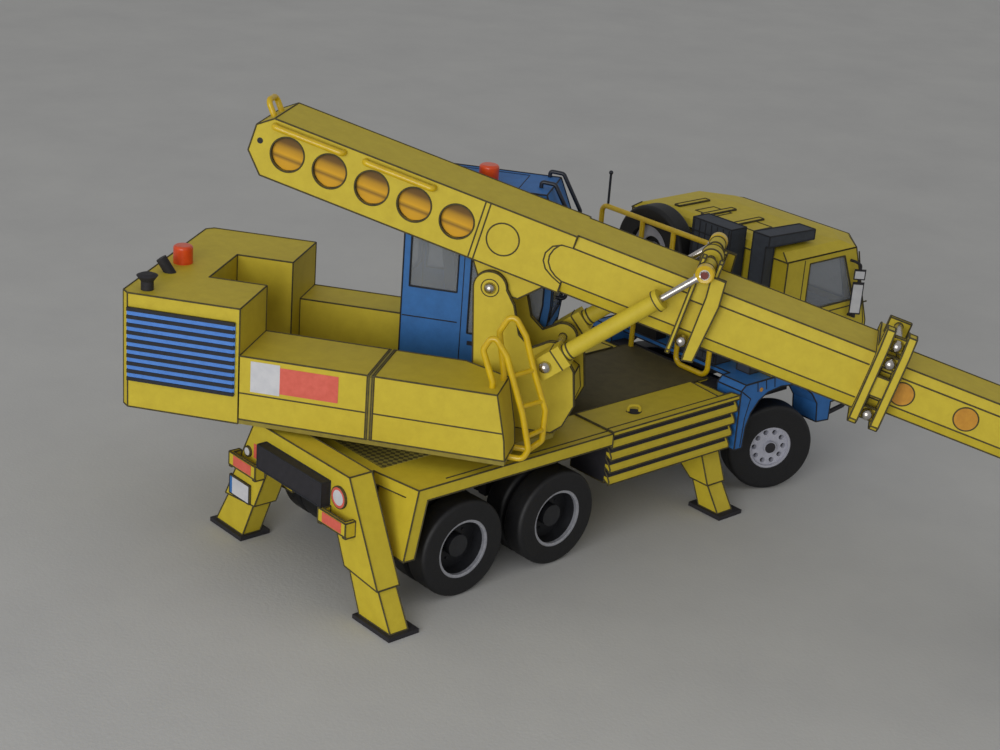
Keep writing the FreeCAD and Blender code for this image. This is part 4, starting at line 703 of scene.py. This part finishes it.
def dress_cylinders():
    """Bands and block edges of the barrels, yellow sleeves round the rod eyes, red ends on the eyes' pin."""
    for name, side in SIDES:
        home = CYLINDER[name]
        reach = span("cylinder_rod_" + name, home)[1].x - 1.6
        gland = span("cylinder_barrel_" + name, home)[1].x
        band = [(1.55, -0.16), (1.72, -0.16), (1.72, 0.16), (1.55, 0.16)]
        gland_band = [(2.05, -0.14), (2.16, -0.14), (2.16, 0.1), (2.05, 0.1)]
        bands = [lathe(home, (u, 0, 0), "X", band) for u in (4.5, 5.4)]
        bands.append(lathe(home, (gland - 1.0, 0, 0), "X", gland_band))
        piece("barrel_bands_" + name, "cylinder_barrel_" + name, "dark_card", (INK, bands))
        lines = [[(2.6, y, -2.18), (2.6, y, 2.18)] for y in (-1.86, 1.86)]
        lines += [[(2.6, -1.86, z), (2.6, 1.86, z)] for z in (-2.16, 2.16)]
        drawn("block_lines_" + name, "cylinder_barrel_" + name, home, lines)
        sleeve = [(1.0, -1.0), (1.5, -1.08), (1.78, -0.8), (1.78, 0.8), (1.5, 1.08), (1.0, 1.0)]
        piece("eye_sleeve_" + name, "cylinder_rod_" + name, "yellow_card",
              (WIRE_YELLOW, [lathe(home, (reach, 0, 0), "Y", sleeve)]))
        pin = BOOM.inverted() @ place(home, (reach, 0, 0)) / MM
        pin.y = side * span("collar_pins", BOOM)[1].y
        pin_end = disc(BOOM, pin, "Y", 0.74, -0.06, 0.06, 18)
        piece("eye_pin_end_" + name, "boom", "steel", (PIN_RED, [pin_end]))


# ---- camera, floor and light ---------------------------------------------------------------
def place_camera():
    """Looks down from behind the truck's right rear corner, slightly rolled."""
    back = Vector((-0.6292949, -0.68563547, 0.36591247)).normalized()
    right = Vector((-back.y, back.x, 0)).normalized()
    up = back.cross(right)
    roll = math.radians(4.4)
    right, up = right * math.cos(roll) + up * math.sin(roll), up * math.cos(roll) - right * math.sin(roll)
    data = bpy.data.cameras.new("camera")
    data.sensor_width, data.lens = 36.0, 66.43
    data.clip_start, data.clip_end = 0.01, 20.0
    camera = bpy.data.objects.new("camera", data)
    camera.matrix_world = Matrix((right, up, back)).transposed().to_4x4()
    camera.location = (-0.22474, -0.26125, 0.17203)
    bpy.context.scene.collection.objects.link(camera)
    bpy.context.scene.camera = camera


def make_floor():
    """Pale art paper under the model: grey, with the tooth of laid paper."""
    paper = finish("pale_grey_art_paper", "#c3c3c1", "#bbbbba", 40.0, 0.8, 1.0, 0.8)
    mesh = bpy.data.meshes.new("floor")
    mesh.from_pydata([(-3, -3, 0), (3, -3, 0), (3, 3, 0), (-3, 3, 0)], [], [(0, 1, 2, 3)])
    mesh.materials.append(paper)
    floor = bpy.data.objects.new("floor", mesh)
    bpy.context.scene.collection.objects.link(floor)


def make_light():
    """Even studio dome with one low soft window from the left and behind the camera."""
    world = bpy.data.worlds.new("studio")
    world.use_nodes = True
    sky = world.node_tree.nodes["Background"]
    sky.inputs["Color"].default_value, sky.inputs["Strength"].default_value = (1, 1, 1, 1), 0.41
    bpy.context.scene.world = world
    lamp = bpy.data.lights.new("window", "AREA")
    lamp.energy, lamp.size = 2.1, 0.4
    window = bpy.data.objects.new("window", lamp)
    direction = Vector((-0.95, -0.5, 0.27)).normalized()
    window.location = direction * 0.62
    window.rotation_euler = direction.to_track_quat("Z", "Y").to_euler()
    bpy.context.scene.collection.objects.link(window)
    bpy.context.scene.view_settings.view_transform = "Standard"


place_camera()
make_floor()
make_light()
dress_frame()
dress_deck()
dress_rear()
dress_wheels()
dress_cab()
dress_behind_cab()
dress_upper()
dress_operator_cab()
dress_boom()
dress_telescope()
dress_cylinders()
edge_lines("truck_edges", "chassis", ["deck", "storage_boxes", "rear_bridge", "front_outriggers",
                                      "outrigger_legs", "cab_body", "cab_roof", "rear_plates"])
edge_lines("truck_dark_edges", "chassis", ["cab_lower", "intake_ducts", "bumper_bar"], finish_=DARK_INK)
edge_lines("upper_edges", "upper_works", ["engine_housing", "side_box_right", "side_box_left", "boom_mast"])
edge_lines("operator_cab_edges", "upper_works", ["operator_cab"], finish_=DARK_INK)
edge_lines("boom_edges", "boom", ["boom_tube", "boom_collars"])
edge_lines("inner_boom_edges", "telescope", ["telescope_tube"])
edge_lines("tool_head_edges", "tool_head", ["tool_head"])
edge_lines("bucket_edges", "bucket", ["bucket"], finish_=DARK_INK)
